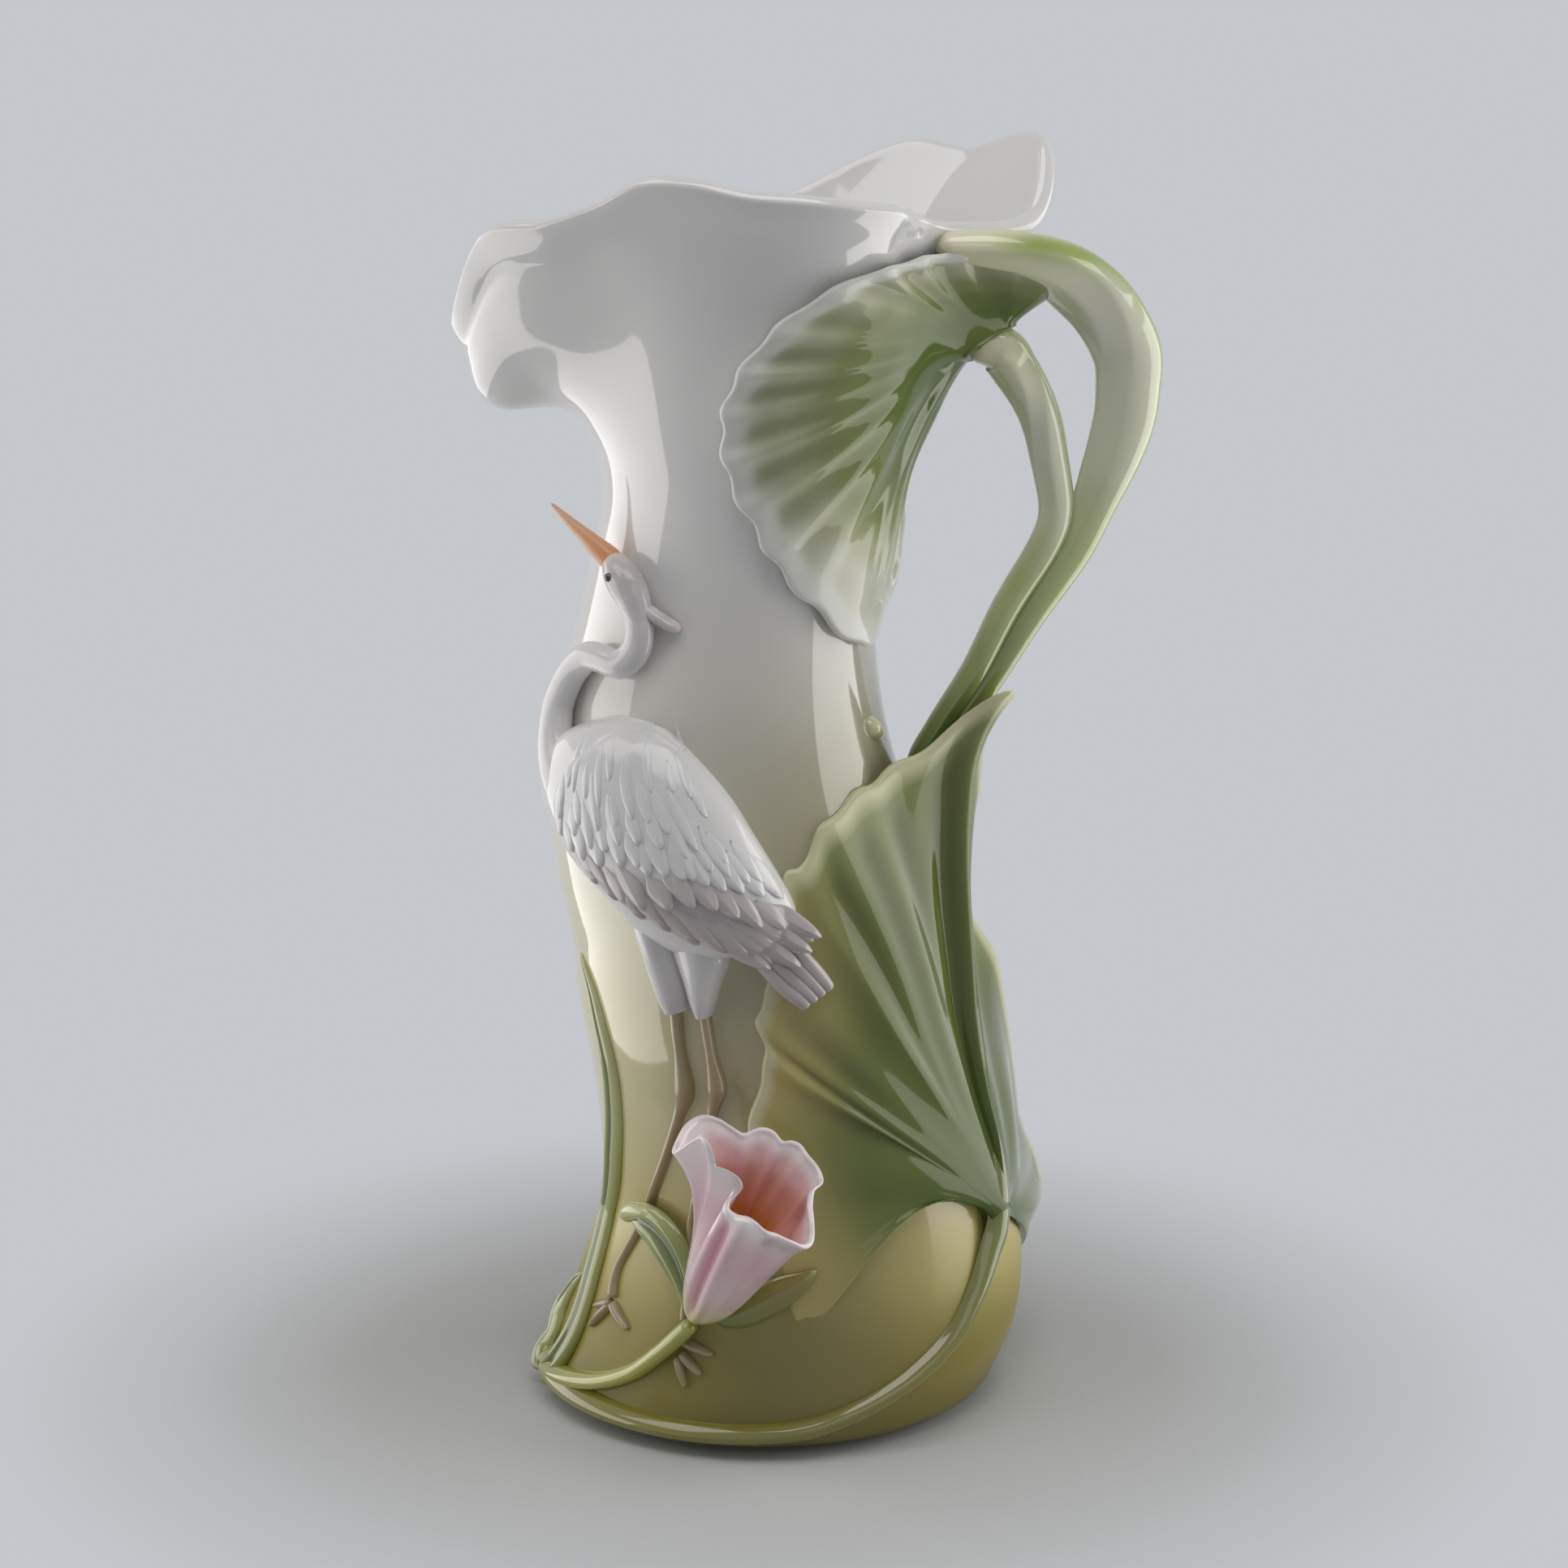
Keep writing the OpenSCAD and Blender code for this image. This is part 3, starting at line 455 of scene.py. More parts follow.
def vessel_shape(a, b):
    rows = np.rint(b * vessel_rows).astype(int)
    points = np.zeros((len(a), 3))
    inside = np.zeros(len(a))
    for j in range(vessel_rows + 1):
        here = rows == j
        points[here], inside[here] = vessel_row(j, 360 * a[here])
    tone = np.where(inside > 0, 1, np.clip(points[:, 2] / throat_h, 0, 1))
    margin = on_wall(*along(lower_margin, np.linspace(0, len(lower_margin) - 1, 200)).T, 0)
    near = np.min(np.linalg.norm(points[:, None, :] - margin[None, ::4, :], axis=2), axis=1)
    # Haze mask: painted shade as well as airbrushed green, strongest at the leaf's margin.
    spray = (1 - inside) * haze_and_shade_share * bell(near, haze_and_shade_reach)
    return points, {"tone": tone, "spray": spray}


# The darkest olive stops at the foot are partly the airbrushed colour and partly painted shade near the floor.
wall_glaze = glaze(
    "wall_glaze",
    [(0.0, 112, 103, 40), (0.09, 150, 138, 64), (0.22, 204, 190, 120), (0.42, 228, 219, 172),
     (0.62, 232, 226, 200), (0.8, 234, 232, 226), (0.93, 236, 236, 236)],
    [("spray", 143, 137, 98)], cloud=0.05, cloud_scale=14, satin=(0.14, 0.32))
add_piece("ewer_wall", wall_glaze, "wall_glaze", "vessel_body", (vessel_sides, vessel_rows, vessel_shape))

# %% [markdown]
# ## Foot
# The ring that it stands on is wiped clean of glaze before firing, or it would stick to the kiln shelf. The solid has
# the right shape already, so it stays and only gets a matt, sandy biscuit.

# %% Foot ring
biscuit, tree, shader, spot = new_finish("bare_biscuit")
sand = noise(tree, spot, 900, 4)
rasp = wire(tree, "ShaderNodeBump", {"Height": sand, "Strength": 0.3, "Distance": 0.0003})
feed(tree, shader, {"Base Color": colours(tree, sand, [(0, 206, 198, 184), (1, 236, 232, 224)]),
                    "Normal": rasp.outputs["Normal"], "Roughness": 0.8})
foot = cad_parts["foot_ring"]
foot.data.materials.clear()
foot.data.materials.append(biscuit)
print("foot ring keeps its solid")

# %% [markdown]
# ## Stems of the handle
# The handle is two stalks: a broad, ribbon-like one from the rim and a slimmer one from the upper leaf's throat,
# which grow together on their way down. A curve with a bevel could make them, but each has a narrow rib along its
# inner edge and a flat face beside it. So each is a grid rolled round a line that stands off the wall, and the radius
# rises at the rib and is cut back along the face.

# %% Rolled stems
way_step = 0.03
rib_turn, rib_width = 286, 0.2
face_turns, face_half = (400, 325), 0.5
brow_turn, brow_width = 96, 0.7


def capped(b, rows, length):
    """Rounds the ends of a strip of so many rows: 0 at both ends, 1 from length rows in."""
    near = np.clip(np.minimum(b, 1 - b) * rows / length, 0, 1)
    return np.sqrt(near * (2 - near))


def outward(angle):
    """Level direction at an angle."""
    turn = np.radians(angle)
    return np.stack([np.cos(turn), np.sin(turn), 0 * turn], -1)


def stem_axis(rows, u, reach, thick):
    row = along(rows, np.clip(u, 0, len(rows) - 1))
    return on_wall(row[:, 0], row[:, 1], reach * row[:, 2] + thick * row[:, 3] / 2)


def turned_from(turn, degrees):
    """How far a turn is from a direction, the shorter way round."""
    return (turn - np.radians(degrees) + math.pi) % (2 * math.pi) - math.pi


def stem_shape(rows, reach, thick, wide, rib=0.0, ends=0.4):
    """Formula for a stem. Rows hold angle, height share, stand-off share and thickness share."""
    last = len(rows) - 1

    def shape(a, b):
        u = b * last
        row = along(rows, u)
        here = stem_axis(rows, u, reach, thick)
        ahead, behind = (stem_axis(rows, u + step, reach, thick) for step in (way_step, -way_step))
        way = unit(ahead - behind)
        side = unit(np.cross(outward(row[:, 0]), way))
        out = np.cross(way, side)
        turn = 2 * math.pi * a
        raised = bell(turned_from(turn, rib_turn), rib_width)
        from_face = turned_from(turn, mix(*face_turns, smooth(0.12, 0.4, b)))
        flat = np.where(np.abs(from_face) < face_half, 1 - math.cos(face_half) / np.cos(from_face), 0)
        size = row[:, 3] * capped(b, last, ends)
        full = size * (1 + rib * raised - (flat if rib > 0 else 0))
        points = (here - side * (wide / 2 * full * np.cos(turn))[:, None]
                  + out * (thick / 2 * full * np.sin(turn))[:, None])
        brow = bell(turn - math.radians(brow_turn), brow_width) * smooth(0.05, 0.14, b)
        return points, {"tone": b, "rib": raised, "brow": brow}

    return shape


# %% [markdown]
# Each row of a stem's table is a place on the wall, how far the stem stands off there and how thick it is. The glaze
# goes from white at the top to green at the root, with a green brow along the upper side. The near-white upper part
# is partly the stems' own pale glaze and partly painted highlight, paler than the glaze so that the stems look lit.

# %% Two stems of the handle
handle_reach = 0.046
outer_rows = [
    [-20, 1.262, -0.055, 0.45], [-13, 1.257, -0.01, 0.7], [-7, 1.246, 0.07, 0.86], [-2, 1.222, 0.27, 0.98],
    [0, 1.186, 0.57, 1], [0, 1.14, 0.80, 1], [0, 1.095, 0.90, 0.94], [0, 1.05, 0.96, 0.89], [0, 1.01, 0.992, 0.785],
    [0, 0.97, 0.975, 0.66], [0, 0.915, 0.865, 0.64], [0, 0.85, 0.712, 0.53], [0, 0.78, 0.485, 0.48],
    [0, 0.72, 0.23, 0.48], [0, 0.68, 0.07, 0.46], [0, 0.64, 0, 0.4]]
inner_rows = [
    [-4, 1.15, 0.06, 0.9], [-2, 1.142, 0.19, 1.15], [-1, 1.12, 0.31, 1.12], [-1, 1.085, 0.48, 1.02],
    [-1, 1.045, 0.63, 0.95], [-1, 1.0, 0.762, 0.89], [-1, 0.965, 0.808, 0.84], [-1, 0.93, 0.768, 0.82],
    [-1, 0.875, 0.645, 0.75], [-1, 0.80, 0.46, 0.68], [-1, 0.735, 0.22, 0.66], [-1, 0.70, 0.08, 0.6],
    [-1, 0.67, 0, 0.5]]
# The near-white upper stops are partly the stems' own cream glaze and partly painted highlight.
stem_glaze = glaze(
    "stem_glaze",
    [(0.0, 238, 234, 202), (0.10, 240, 241, 204), (0.30, 241, 243, 222),
     (0.48, 236, 239, 212), (0.66, 192, 204, 140), (0.85, 128, 146, 74), (1.0, 108, 126, 60)],
    [("brow", 160, 181, 86), ("rib", 236, 237, 214)], cloud=0.08)
add_piece("handle_outer_stem", stem_glaze, "stem_glaze", "outer_stem",
          (72, 230, stem_shape(outer_rows, handle_reach, thick=0.016, wide=0.0125, rib=0.15)))
add_piece("handle_inner_stem", stem_glaze, "stem_glaze", "inner_stem",
          (56, 180, stem_shape(inner_rows, handle_reach, thick=0.0098, wide=0.0095, rib=0.13)))

# %% [markdown]
# ## Strips laid on the wall
# Grass, legs, toes and the runner round the foot are low reliefs: strips of clay pressed on the wall. The grid is
# wrapped round each strip, over its crown and back beneath it, and the underside is sunk a little way into the wall
# as slip would fill it. A profile gives the crown, so the same formula makes a round runner and a grooved blade.

# %% Reliefs
sink = 0.0006
crown_share = 0.78
rim_of_strip = 0.9999
groove_off, groove_width = 0.05, 0.28


def over_and_under(a):
    """Place across a strip, from 1 to -1 over its crown and back beneath it, and whether it is on top."""
    top = a <= crown_share
    x = np.where(top, np.cos(math.pi * a / crown_share), mix(-1, 1, (a - crown_share) / (1 - crown_share)))
    return x, top


def dome(x):
    return np.sqrt(np.maximum(0, 1 - x * x))


def soft_dome(x):
    return np.maximum(0, 1 - x * x) ** 0.9


def grooved(x):
    return dome(x) ** 0.8 * (1 - 0.42 * bell(x + groove_off, groove_width))


def side_of(rows, u):
    last = len(rows) - 1
    row, ahead, behind = (along(rows, np.clip(u + step, 0, last)) for step in (0, way_step, -way_step))
    way = on_wall(ahead[:, 0], ahead[:, 1], 0) - on_wall(behind[:, 0], behind[:, 1], 0)
    return unit(np.cross(outward(row[:, 0]), way))


def relief_shape(rows, width, rise, profile=dome, over=0.0, ends=0.5, tone=(0, 1)):
    """Formula for a strip. Rows hold angle and height share, and then the shares of width, rise and over, which are
    1, 1 and 0 where a row leaves them out."""
    rows = [[*row, *(1, 1, 0)[len(row) - 2:]] for row in rows]
    last = len(rows) - 1

    def shape(a, b):
        u = b * last
        row = along(rows, u)
        x, top = over_and_under(a)
        cap = capped(b, last, ends)
        across = side_of(rows, u) * (x * width / 2 * row[:, 2] * cap)[:, None]
        here = on_wall(row[:, 0], row[:, 1], 0) + across
        height = rise * row[:, 3] * cap * profile(x) + sink
        lift = over * row[:, 4] - sink + np.where(top, height * (np.abs(x) < rim_of_strip), 0)
        hollow = np.where(top, bell(x + groove_off, 0.3), 0) * (profile is grooved)
        return seated(here, lift), {"tone": mix(*tone, b), "groove": hollow}

    return shape


# %% [markdown]
# The grass, the runner and the flower's stalk are all greens of the same brush. A strip's table walks along the wall,
# and says where the strip widens, rises or lies over another one.

# %% Grass, runner and stalk
grass_glaze = glaze(
    "grass_glaze",
    [(0.0, 134, 134, 54), (0.3, 158, 162, 82), (0.7, 186, 192, 128), (1.0, 206, 208, 158)],
    [("groove", 84, 98, 38)], cloud=0.10)
runner_glaze = glaze(
    "runner_glaze",
    [(0.0, 104, 120, 48), (0.2, 122, 130, 52), (0.45, 134, 130, 52), (0.8, 138, 132, 50), (1.0, 150, 148, 62)],
    cloud=0.10)
stalk_glaze = glaze("stalk_glaze", [(0.0, 150, 152, 66), (0.5, 184, 180, 92), (1.0, 168, 174, 84)], cloud=0.10)
fold_glaze = glaze(
    "fold_glaze",
    [(0.0, 150, 156, 76), (0.4, 130, 142, 70), (0.7, 158, 168, 98), (0.9, 204, 206, 150)],
    [("groove", 88, 102, 44)], cloud=0.10)
nub_glaze = glaze("nub_glaze", [(0.0, 214, 210, 168), (1.0, 190, 192, 130)], cloud=0.10)

runner_rows = [
    [340, 0.36, 0.1, 0.15, 1.25], [337.3, 0.32, 0.4, 0.45, 1.2], [334.4, 0.28, 0.85, 0.8, 1.1],
    [331.6, 0.243, 1.25, 1, 1], [329.5, 0.208, 1.4, 1, 0.7], [325, 0.18, 1.2, 1, 0.3], [319.3, 0.146, 1.05, 1, 0.1],
    [312.5, 0.107], [305, 0.08], [296, 0.054], [288, 0.037], [279, 0.024], [266, 0.018], [252, 0.016], [237, 0.016],
    [222, 0.018, 1.05, 1.05], [208, 0.02, 1.1, 1.1], [196, 0.024, 1.1, 1.2], [184, 0.03, 0.8, 0.8]]
add_piece("runner_round_foot", runner_glaze, "grass_glaze", "base_runner",
          (30, 260, relief_shape(runner_rows, width=0.0062, rise=0.003, profile=soft_dome, over=0.003)))
blade_rows = [
    [193, 0.012, 1.15, 1.5], [197, 0.04, 1.1, 1.35], [199.5, 0.09, 1, 1.1], [198.2, 0.15], [197, 0.212],
    [203, 0.274], [208, 0.337, 0.9, 0.9], [210.5, 0.40, 0.72, 0.8], [207.5, 0.458, 0.48, 0.6],
    [200.5, 0.50, 0.15, 0.35]]
add_piece("tall_grass_blade", grass_glaze, "grass_glaze", "tall_blade",
          (40, 220, relief_shape(blade_rows, width=0.0082, rise=0.0026, profile=grooved)))
short_rows = [
    [189, 0.012, 0.8, 1.3], [184, 0.03, 1, 1.5], [183, 0.05, 0.9, 1.0], [181, 0.07, 0.9, 1.2],
    [183, 0.095, 0.6, 0.8], [188, 0.122, 0.25, 0.4]]
add_piece("short_grass_blade", grass_glaze, "grass_glaze", "short_blade",
          (36, 90, relief_shape(short_rows, width=0.0085, rise=0.003, profile=grooved)))
leg_top = 0.0024
flower_stem_rows = [
    [190, 0.022, 0.9, 1.1], [199, 0.026, 1, 1.1], [209, 0.034, 1, 1.05], [219, 0.046], [228, 0.067],
    [235, 0.098, 1, 1, 0.6], [239.5, 0.122, 1, 1, 1], [242.5, 0.138, 0.9, 0.9, 1]]
add_piece("stalk_of_flower", stalk_glaze, "grass_glaze", "flower_stem",
          (30, 110, relief_shape(flower_stem_rows, width=0.0044, rise=0.0034, over=leg_top)))
fold_rows = [
    [241, 0.15, 0.4, 0.6, 1], [238.6, 0.168, 0.55, 0.75, 1], [235.5, 0.189, 0.8, 0.9, 1], [231.6, 0.208, 1, 1, 1],
    [226.8, 0.223, 1, 1, 1], [221.5, 0.229, 0.85, 0.9, 1], [217, 0.227, 0.4, 0.5, 1]]
roll_rows = [
    [227, 0.239, 0.4, 0.5, 1], [222, 0.238, 0.9, 1, 1], [217.5, 0.234, 1, 1, 1], [214.6, 0.226, 0.9, 0.9, 0.9],
    [214.8, 0.217, 0.4, 0.5, 0.7]]
add_piece("folded_leaf_by_flower", fold_glaze, "grass_glaze", "folded_leaf",
          (40, 90, relief_shape(fold_rows, width=0.0098, rise=0.0030, profile=grooved, over=leg_top)),
          (40, 90, relief_shape(roll_rows, width=0.0042, rise=0.0026, over=leg_top + 0.0006, tone=(0.85, 1))))
sepal_rows = [
    [246.5, 0.14, 0.5, 0.7], [252.5, 0.15, 0.95, 1], [258.5, 0.164, 1, 1, 0.1], [264, 0.178, 0.85, 0.8, 0.6],
    [268.5, 0.19, 0.5, 0.5, 1], [272, 0.2, 0.12, 0.2, 1]]
add_piece("leaf_under_flower", runner_glaze, "grass_glaze", "sepal_leaf",
          (36, 80, relief_shape(sepal_rows, width=0.0085, rise=0.0024, profile=soft_dome, over=0.0022)))
nub_rows = [[333, 0.755, 0.4, 0.3], [336, 0.75], [339, 0.742, 0.9, 0.9], [342, 0.735, 0.4, 0.3]]
add_piece("nub_by_stems", nub_glaze, "stem_glaze", "stem_nub",
          (30, 40, relief_shape(nub_rows, width=0.0052, rise=0.0024, profile=soft_dome)))

# %% [markdown]
# ## Pleated leaves
# Both leaves fan out from a throat like an open umbrella, with soft pleats that end in a scalloped, thickened margin.
# A subdivided plane with a wave modifier would put the pleats on straight lines, so the grid runs from throat to
# margin instead: across the top, round the margin and back beneath. Pleats are then a wave along the margin, and the
# margin's own table sets how far each part of the leaf stands off the wall.

# %% Leaf formula
leaf_round = 0.05
degree_at_neck = 0.00066
longest_start = 0.05
just_inside = 0.97


def there_and_back(b, round_share):
    """How far out a row is that goes out to a margin, round it and back beneath, and its turn round the margin."""
    half = 0.5 - round_share
    out = np.clip(np.minimum(b, 1 - b) / half, 0, 1)
    return out, math.pi * np.clip((b - half) / (2 * round_share), 0, 1)


def leaf_shape(ring, margins, lift, thick, stand, wave, tint, closed, reach_in, reach_out, late):
    """Formula for a leaf that flares from a ring round its stalk to its margin.

    The ring holds angle, height share, stand-off, radius and the lean of its axis in degrees from the wall. Margins
    hold angle, height share, lift share and the bow of the rib, which are 0 where a row leaves them out. Late says how
    much of the lift comes near the margin.
    """
    margins = [[*row, *(0, 0)[len(row) - 2:]] for row in margins]
    last = len(margins) - (0 if closed else 1)
    table = np.array(margins[-2:] + margins + margins[:3] if closed else margins, float)
    angle0, share0, stand0, ring_r, lean0 = ring
    flat = np.array([degree_at_neck, throat_h - foot_h])
    axis = np.array([0, math.cos(math.radians(lean0)), -math.sin(math.radians(lean0))])
    across = np.array([0, math.sin(math.radians(lean0)), math.cos(math.radians(lean0))])

    def sheet(s, t, drop):
        margin = along(table, s + 2 if closed else s)
        raised = lift * margin[:, 2]
        end = np.stack([(margin[:, 0] - angle0) * flat[0], (margin[:, 1] - share0) * flat[1],
                        stand + raised * (1 - late) - drop], -1)
        head = np.arctan2(end[:, 1], end[:, 0])
        level = np.hypot(end[:, 0], end[:, 1])
        r = ring_r - drop
        start = np.stack([r * np.cos(head), 0 * head, np.full_like(head, stand0)], -1)
        start = start + across * (r * np.sin(head))[:, None]
        start_way = axis * (reach_in * np.minimum(level, longest_start))[:, None]
        end_way = np.stack([np.cos(head), np.sin(head), 0 * head], -1) * (reach_out * level)[:, None]
        t1 = t[:, None]
        spot = ((1 + 2 * t1) * (1 - t1) ** 2 * start + t1 * (1 - t1) ** 2 * start_way
                + t1 ** 2 * (3 - 2 * t1) * end - t1 ** 2 * (1 - t1) * end_way)
        ridge, edge_wave = wave(s, t)
        angle = angle0 + spot[:, 0] / flat[0] * (1 + edge_wave)
        share = share0 + spot[:, 1] / flat[1] * (1 + edge_wave) + margin[:, 3] * np.sin(math.pi * t ** 1.4)
        return on_wall(angle, share, spot[:, 2] + raised * late * t ** 4 + ridge)

    def shape(a, b):
        s = a * last
        t, turn = there_and_back(b, leaf_round)
        full = np.ones_like(s)
        edge = unit(sheet(s, full, thick / 2) - sheet(s, just_inside * full, thick / 2))
        points = sheet(s, t, thick / 2 * (1 - np.cos(turn))) + edge * (thick / 2 * np.sin(turn))[:, None]
        return points, tint(s, t)

    return shape


def pleats(s, sharp=1.0):
    """Wave with one crest in the middle of each step of the margin."""
    return (0.5 - 0.5 * np.cos(2 * math.pi * s)) ** sharp


# %% [markdown]
# The upper leaf hugs the neck and closes round its own stalk, so its margin is a full ring. The pleats calm down at
# the lowest point, where the leaf was pressed flat, and its green fades to white at the margin.

# %% Upper leaf
upper_margins = [
    [-10, 1.242, 1.05], [-15, 1.252, 0.45], [-24, 1.252, 0.1], [-38, 1.25], [-56, 1.243], [-74, 1.212], [-87, 1.17],
    [-95, 1.125], [-97, 1.08], [-94, 1.03], [-84, 0.98], [-72, 0.935], [-53, 0.885], [-31, 0.845], [-15, 0.875],
    [-2, 0.92, 0.08], [9, 0.98], [16, 1.04, 0.08], [20, 1.10, 0.2], [18, 1.16, 0.6], [8, 1.2, 1.1],
    [-3, 1.222, 1.35]]


def upper_wave(s, t):
    spread = smooth(0.38, 0.92, t) * (1 - 0.5 * smooth(0.93, 1, t))
    calm = 1 - 0.8 * smooth(10, 12, s) * (1 - smooth(14, 16, s))
    ridge = 0.0015 * (pleats(s, 1.6) - 0.4) * spread * calm * (1 + 0.3 * np.sin(2 * math.pi * 8 / 22 * s))
    trough = -0.0018 * bell(s - 12.2, 0.9) * smooth(0.2, 0.5, t) * (1 - smooth(0.7, 0.95, t))
    lip = 0.0007 * smooth(0.88, 0.96, t)
    return ridge + trough + lip, 0.02 * (pleats(s + 0.2) - 0.5) * smooth(0.8, 1, t)


def upper_tint(s, t):
    low = bell(s - 13, 1.6)
    return {"tone": np.clip(t + 0.25 * low * smooth(0.6, 1, t), 0, 1),
            "valley": 0.55 * (1 - pleats(s)) * smooth(0.45, 0.8, t) * (1 - smooth(0.9, 0.98, t)) * (1 - 0.8 * low),
            "edge": smooth(0.9, 0.97, t)}


leaf_glaze = glaze(
    "leaf_glaze",
    [(0.0, 104, 122, 50), (0.3, 94, 113, 48), (0.5, 106, 124, 60), (0.66, 136, 148, 92),
     (0.82, 188, 193, 160), (0.95, 214, 217, 202)],
    [("valley", 140, 143, 98), ("edge", 230, 231, 226)], cloud=0.12, coat=0.1, index=1.36)
upper_ring = (-3, 1.148, 0.0125, 0.0054, 52)
upper_leaf = leaf_shape(upper_ring, upper_margins, lift=0.014, thick=0.0024, stand=0.0032, wave=upper_wave,
                        tint=upper_tint, closed=True, reach_in=0.4, reach_out=0.9, late=0)
add_piece("leaf_round_neck", leaf_glaze, "leaf_glaze", "upper_leaf", (330, 110, upper_leaf))

# %% [markdown]
# The lower leaf is larger and open: it starts at the front, sweeps up to a free tip beside the handle and comes down
# behind. Its left lobe sinks into the wall as if it had been smoothed on with a wet finger, and a midrib runs up to
# the tip. The lift in its margins' table comes late, so that only the outer part curls away from the wall.

# %% Lower leaf
lower_margins = [
    [-88.6, 0.113, -0.02, 0.078], [-95, 0.18, -0.03, 0.05], [-99, 0.27, -0.03, 0.026], [-100, 0.35, -0.02, 0.015],
    [-93, 0.40, -0.02, 0.01], [-90.5, 0.432, -0.02], [-91.5, 0.463, -0.02], [-87.5, 0.493, -0.02],
    [-81, 0.54, -0.02], [-74.5, 0.61, -0.01], [-69, 0.623], [-63.4, 0.645], [-55, 0.669], [-41, 0.688, 0.01],
    [-29, 0.702, 0.1], [-19, 0.718, 0.3], [-12, 0.746, 0.62], [-8.5, 0.775, 1], [1, 0.74, 0.84], [6, 0.66, 0.56],
    [12, 0.60, 0.38], [16, 0.55, 0.28], [19, 0.50, 0.24], [22, 0.44, 0.44], [25, 0.37, 0.44], [28, 0.29, 0.38],
    [31, 0.225, 0.42], [30, 0.17, 0.5], [25, 0.13, 0.28], [19, 0.105]]


def fold_place(s):
    """Pleats of the large leaf are uneven: some are half as wide again as others."""
    return 0.56 * s + 0.24 * np.sin(0.9 * s + 1)


def lower_wave(s, t):
    spread = smooth(0.3, 0.85, t) * (1 - 0.5 * smooth(0.9, 1, t))
    ridge = 0.0010 * (pleats(fold_place(s)) - 0.5) * spread * smooth(0.5, 2, s) * (1 + 0.35 * np.sin(1.7 * s))
    ridge = ridge * (1 - 0.3 * smooth(9, 12, s) * (1 - smooth(19, 21, s)))
    ripple = np.sin(7 * t + 1.7 * s) * smooth(0.25, 0.6, t) * (1 - smooth(0.85, 1, t)) * smooth(1, 3, s)
    ridge = ridge + 0.0004 * ripple
    midrib = 0.0022 * bell(s - 17.3, 0.6) * smooth(0.06, 0.3, t) * (1 - 0.6 * smooth(0.8, 1, t))
    trough = -0.0014 * bell(s - 15.6, 0.9) * smooth(0.15, 0.4, t) * (1 - smooth(0.65, 0.95, t))
    arch = 0.0012 * bell(s - 0.25, 0.3) * smooth(0.1, 0.3, t)
    side = np.clip(s / 0.22, 0, 1)
    tuck = -0.0040 * (1 - np.sqrt(side * (2 - side)))
    lobe = -0.0040 * bell(s, 0.55) * smooth(0.80, 1.0, t)
    scallop = 0.012 * (pleats(fold_place(s) + 0.25) - 0.5) * smooth(0.85, 1, t) * smooth(0.5, 2, s)
    return ridge + midrib + trough + arch + tuck + lobe, scallop


def lower_tint(s, t):
    left = 1 - smooth(7, 12, s)
    valley = (1 - pleats(fold_place(s))) * smooth(0.35, 0.75, t) * (1 - smooth(0.88, 0.97, t)) * smooth(1, 3, s)
    return {"tone": np.clip(0.85 * t, 0, 1), "fade": left * smooth(0.62, 1.0, t), "valley": valley,
            "edge": smooth(0.95, 0.99, t) * smooth(1, 3, s)}


big_leaf_glaze = glaze(
    "big_leaf_glaze",
    [(0.0, 86, 102, 40), (0.3, 90, 107, 46), (0.6, 104, 118, 58), (0.9, 142, 150, 96)],
    [("valley", 94, 103, 50), ("fade", 190, 178, 114), ("edge", 212, 210, 172)], cloud=0.12, coat=0.1, index=1.38)
lower_ring = (-29.5, 0.222, 0.0040, 0.0030, 40)
lower_leaf = leaf_shape(lower_ring, lower_margins, lift=0.030, thick=0.0024, stand=0.0018, wave=lower_wave,
                        tint=lower_tint, closed=False, reach_in=0.3, reach_out=0.9, late=1)
add_piece("leaf_round_belly", big_leaf_glaze, "leaf_glaze", "lower_leaf", (420, 110, lower_leaf))

# %% [markdown]
# ## Flower
# The bell of the flower was pinched up by hand from a thin cone of clay. A cone with a cloth-like edge could come
# from a sculpt, but it has to repeat exactly, so the grid is rolled into a double-walled cup. A profile gives the cup,
# and a table of the rim gives direction, reach and rise in millimetres of each petal and of the pinches between them.
# A groove, a fold and a shoulder then break up the cup's side.

# %% Flower
flower_angle, flower_share, flower_lift = 243.3, 0.143, 0.0044
lean_out, lean_aside = 20, 30
petal_t = 0.0017
turn = math.radians(flower_angle)
flower_out = np.array([math.cos(turn), math.sin(turn), 0])
flower_side = np.array([-math.sin(turn), math.cos(turn), 0])
flower_axis = unit(np.array([0, 0, 1]) + math.tan(math.radians(lean_out)) * flower_out
                   + math.tan(math.radians(lean_aside)) * flower_side)
flower_x = unit(np.cross(flower_axis, flower_out))
flower_y = np.cross(flower_axis, flower_x)
flower_root = on_wall(flower_angle, flower_share, flower_lift)
petal_rim = [
    (2, 16.6, 46.2), (14, 14.6, 48), (28, 12.6, 49.4), (42, 12, 50.4), (54, 10.6, 51.2), (66, 9, 50.4),
    (84, 7.6, 48), (104, 7.4, 47.4), (117, 6.4, 48), (127, 4.6, 49.4), (134, 4, 51.8), (144, 5.6, 53.8),
    (152, 8.2, 54), (157, 11, 53.2), (160, 12.4, 55), (164, 14.4, 57.2), (169, 16.4, 56.8), (172, 18.6, 51.5),
    (174, 21, 45.5), (183, 22.6, 46.6), (194, 24.2, 47.8), (204, 24.6, 48.2), (212, 23.2, 48), (220, 20.6, 47.6),
    (228, 19, 47.4), (239, 21.4, 47.8), (247, 21.6, 47.9), (255, 19.9, 47.8), (260, 21.3, 47.9), (266, 21.9, 47.8),
    (274, 20.9, 47.6), (284, 21, 46.8), (294, 19.6, 46.4), (303, 15, 47.6), (318, 13.4, 47.4), (336, 14.8, 46.8),
    (350, 16.6, 45.6)]
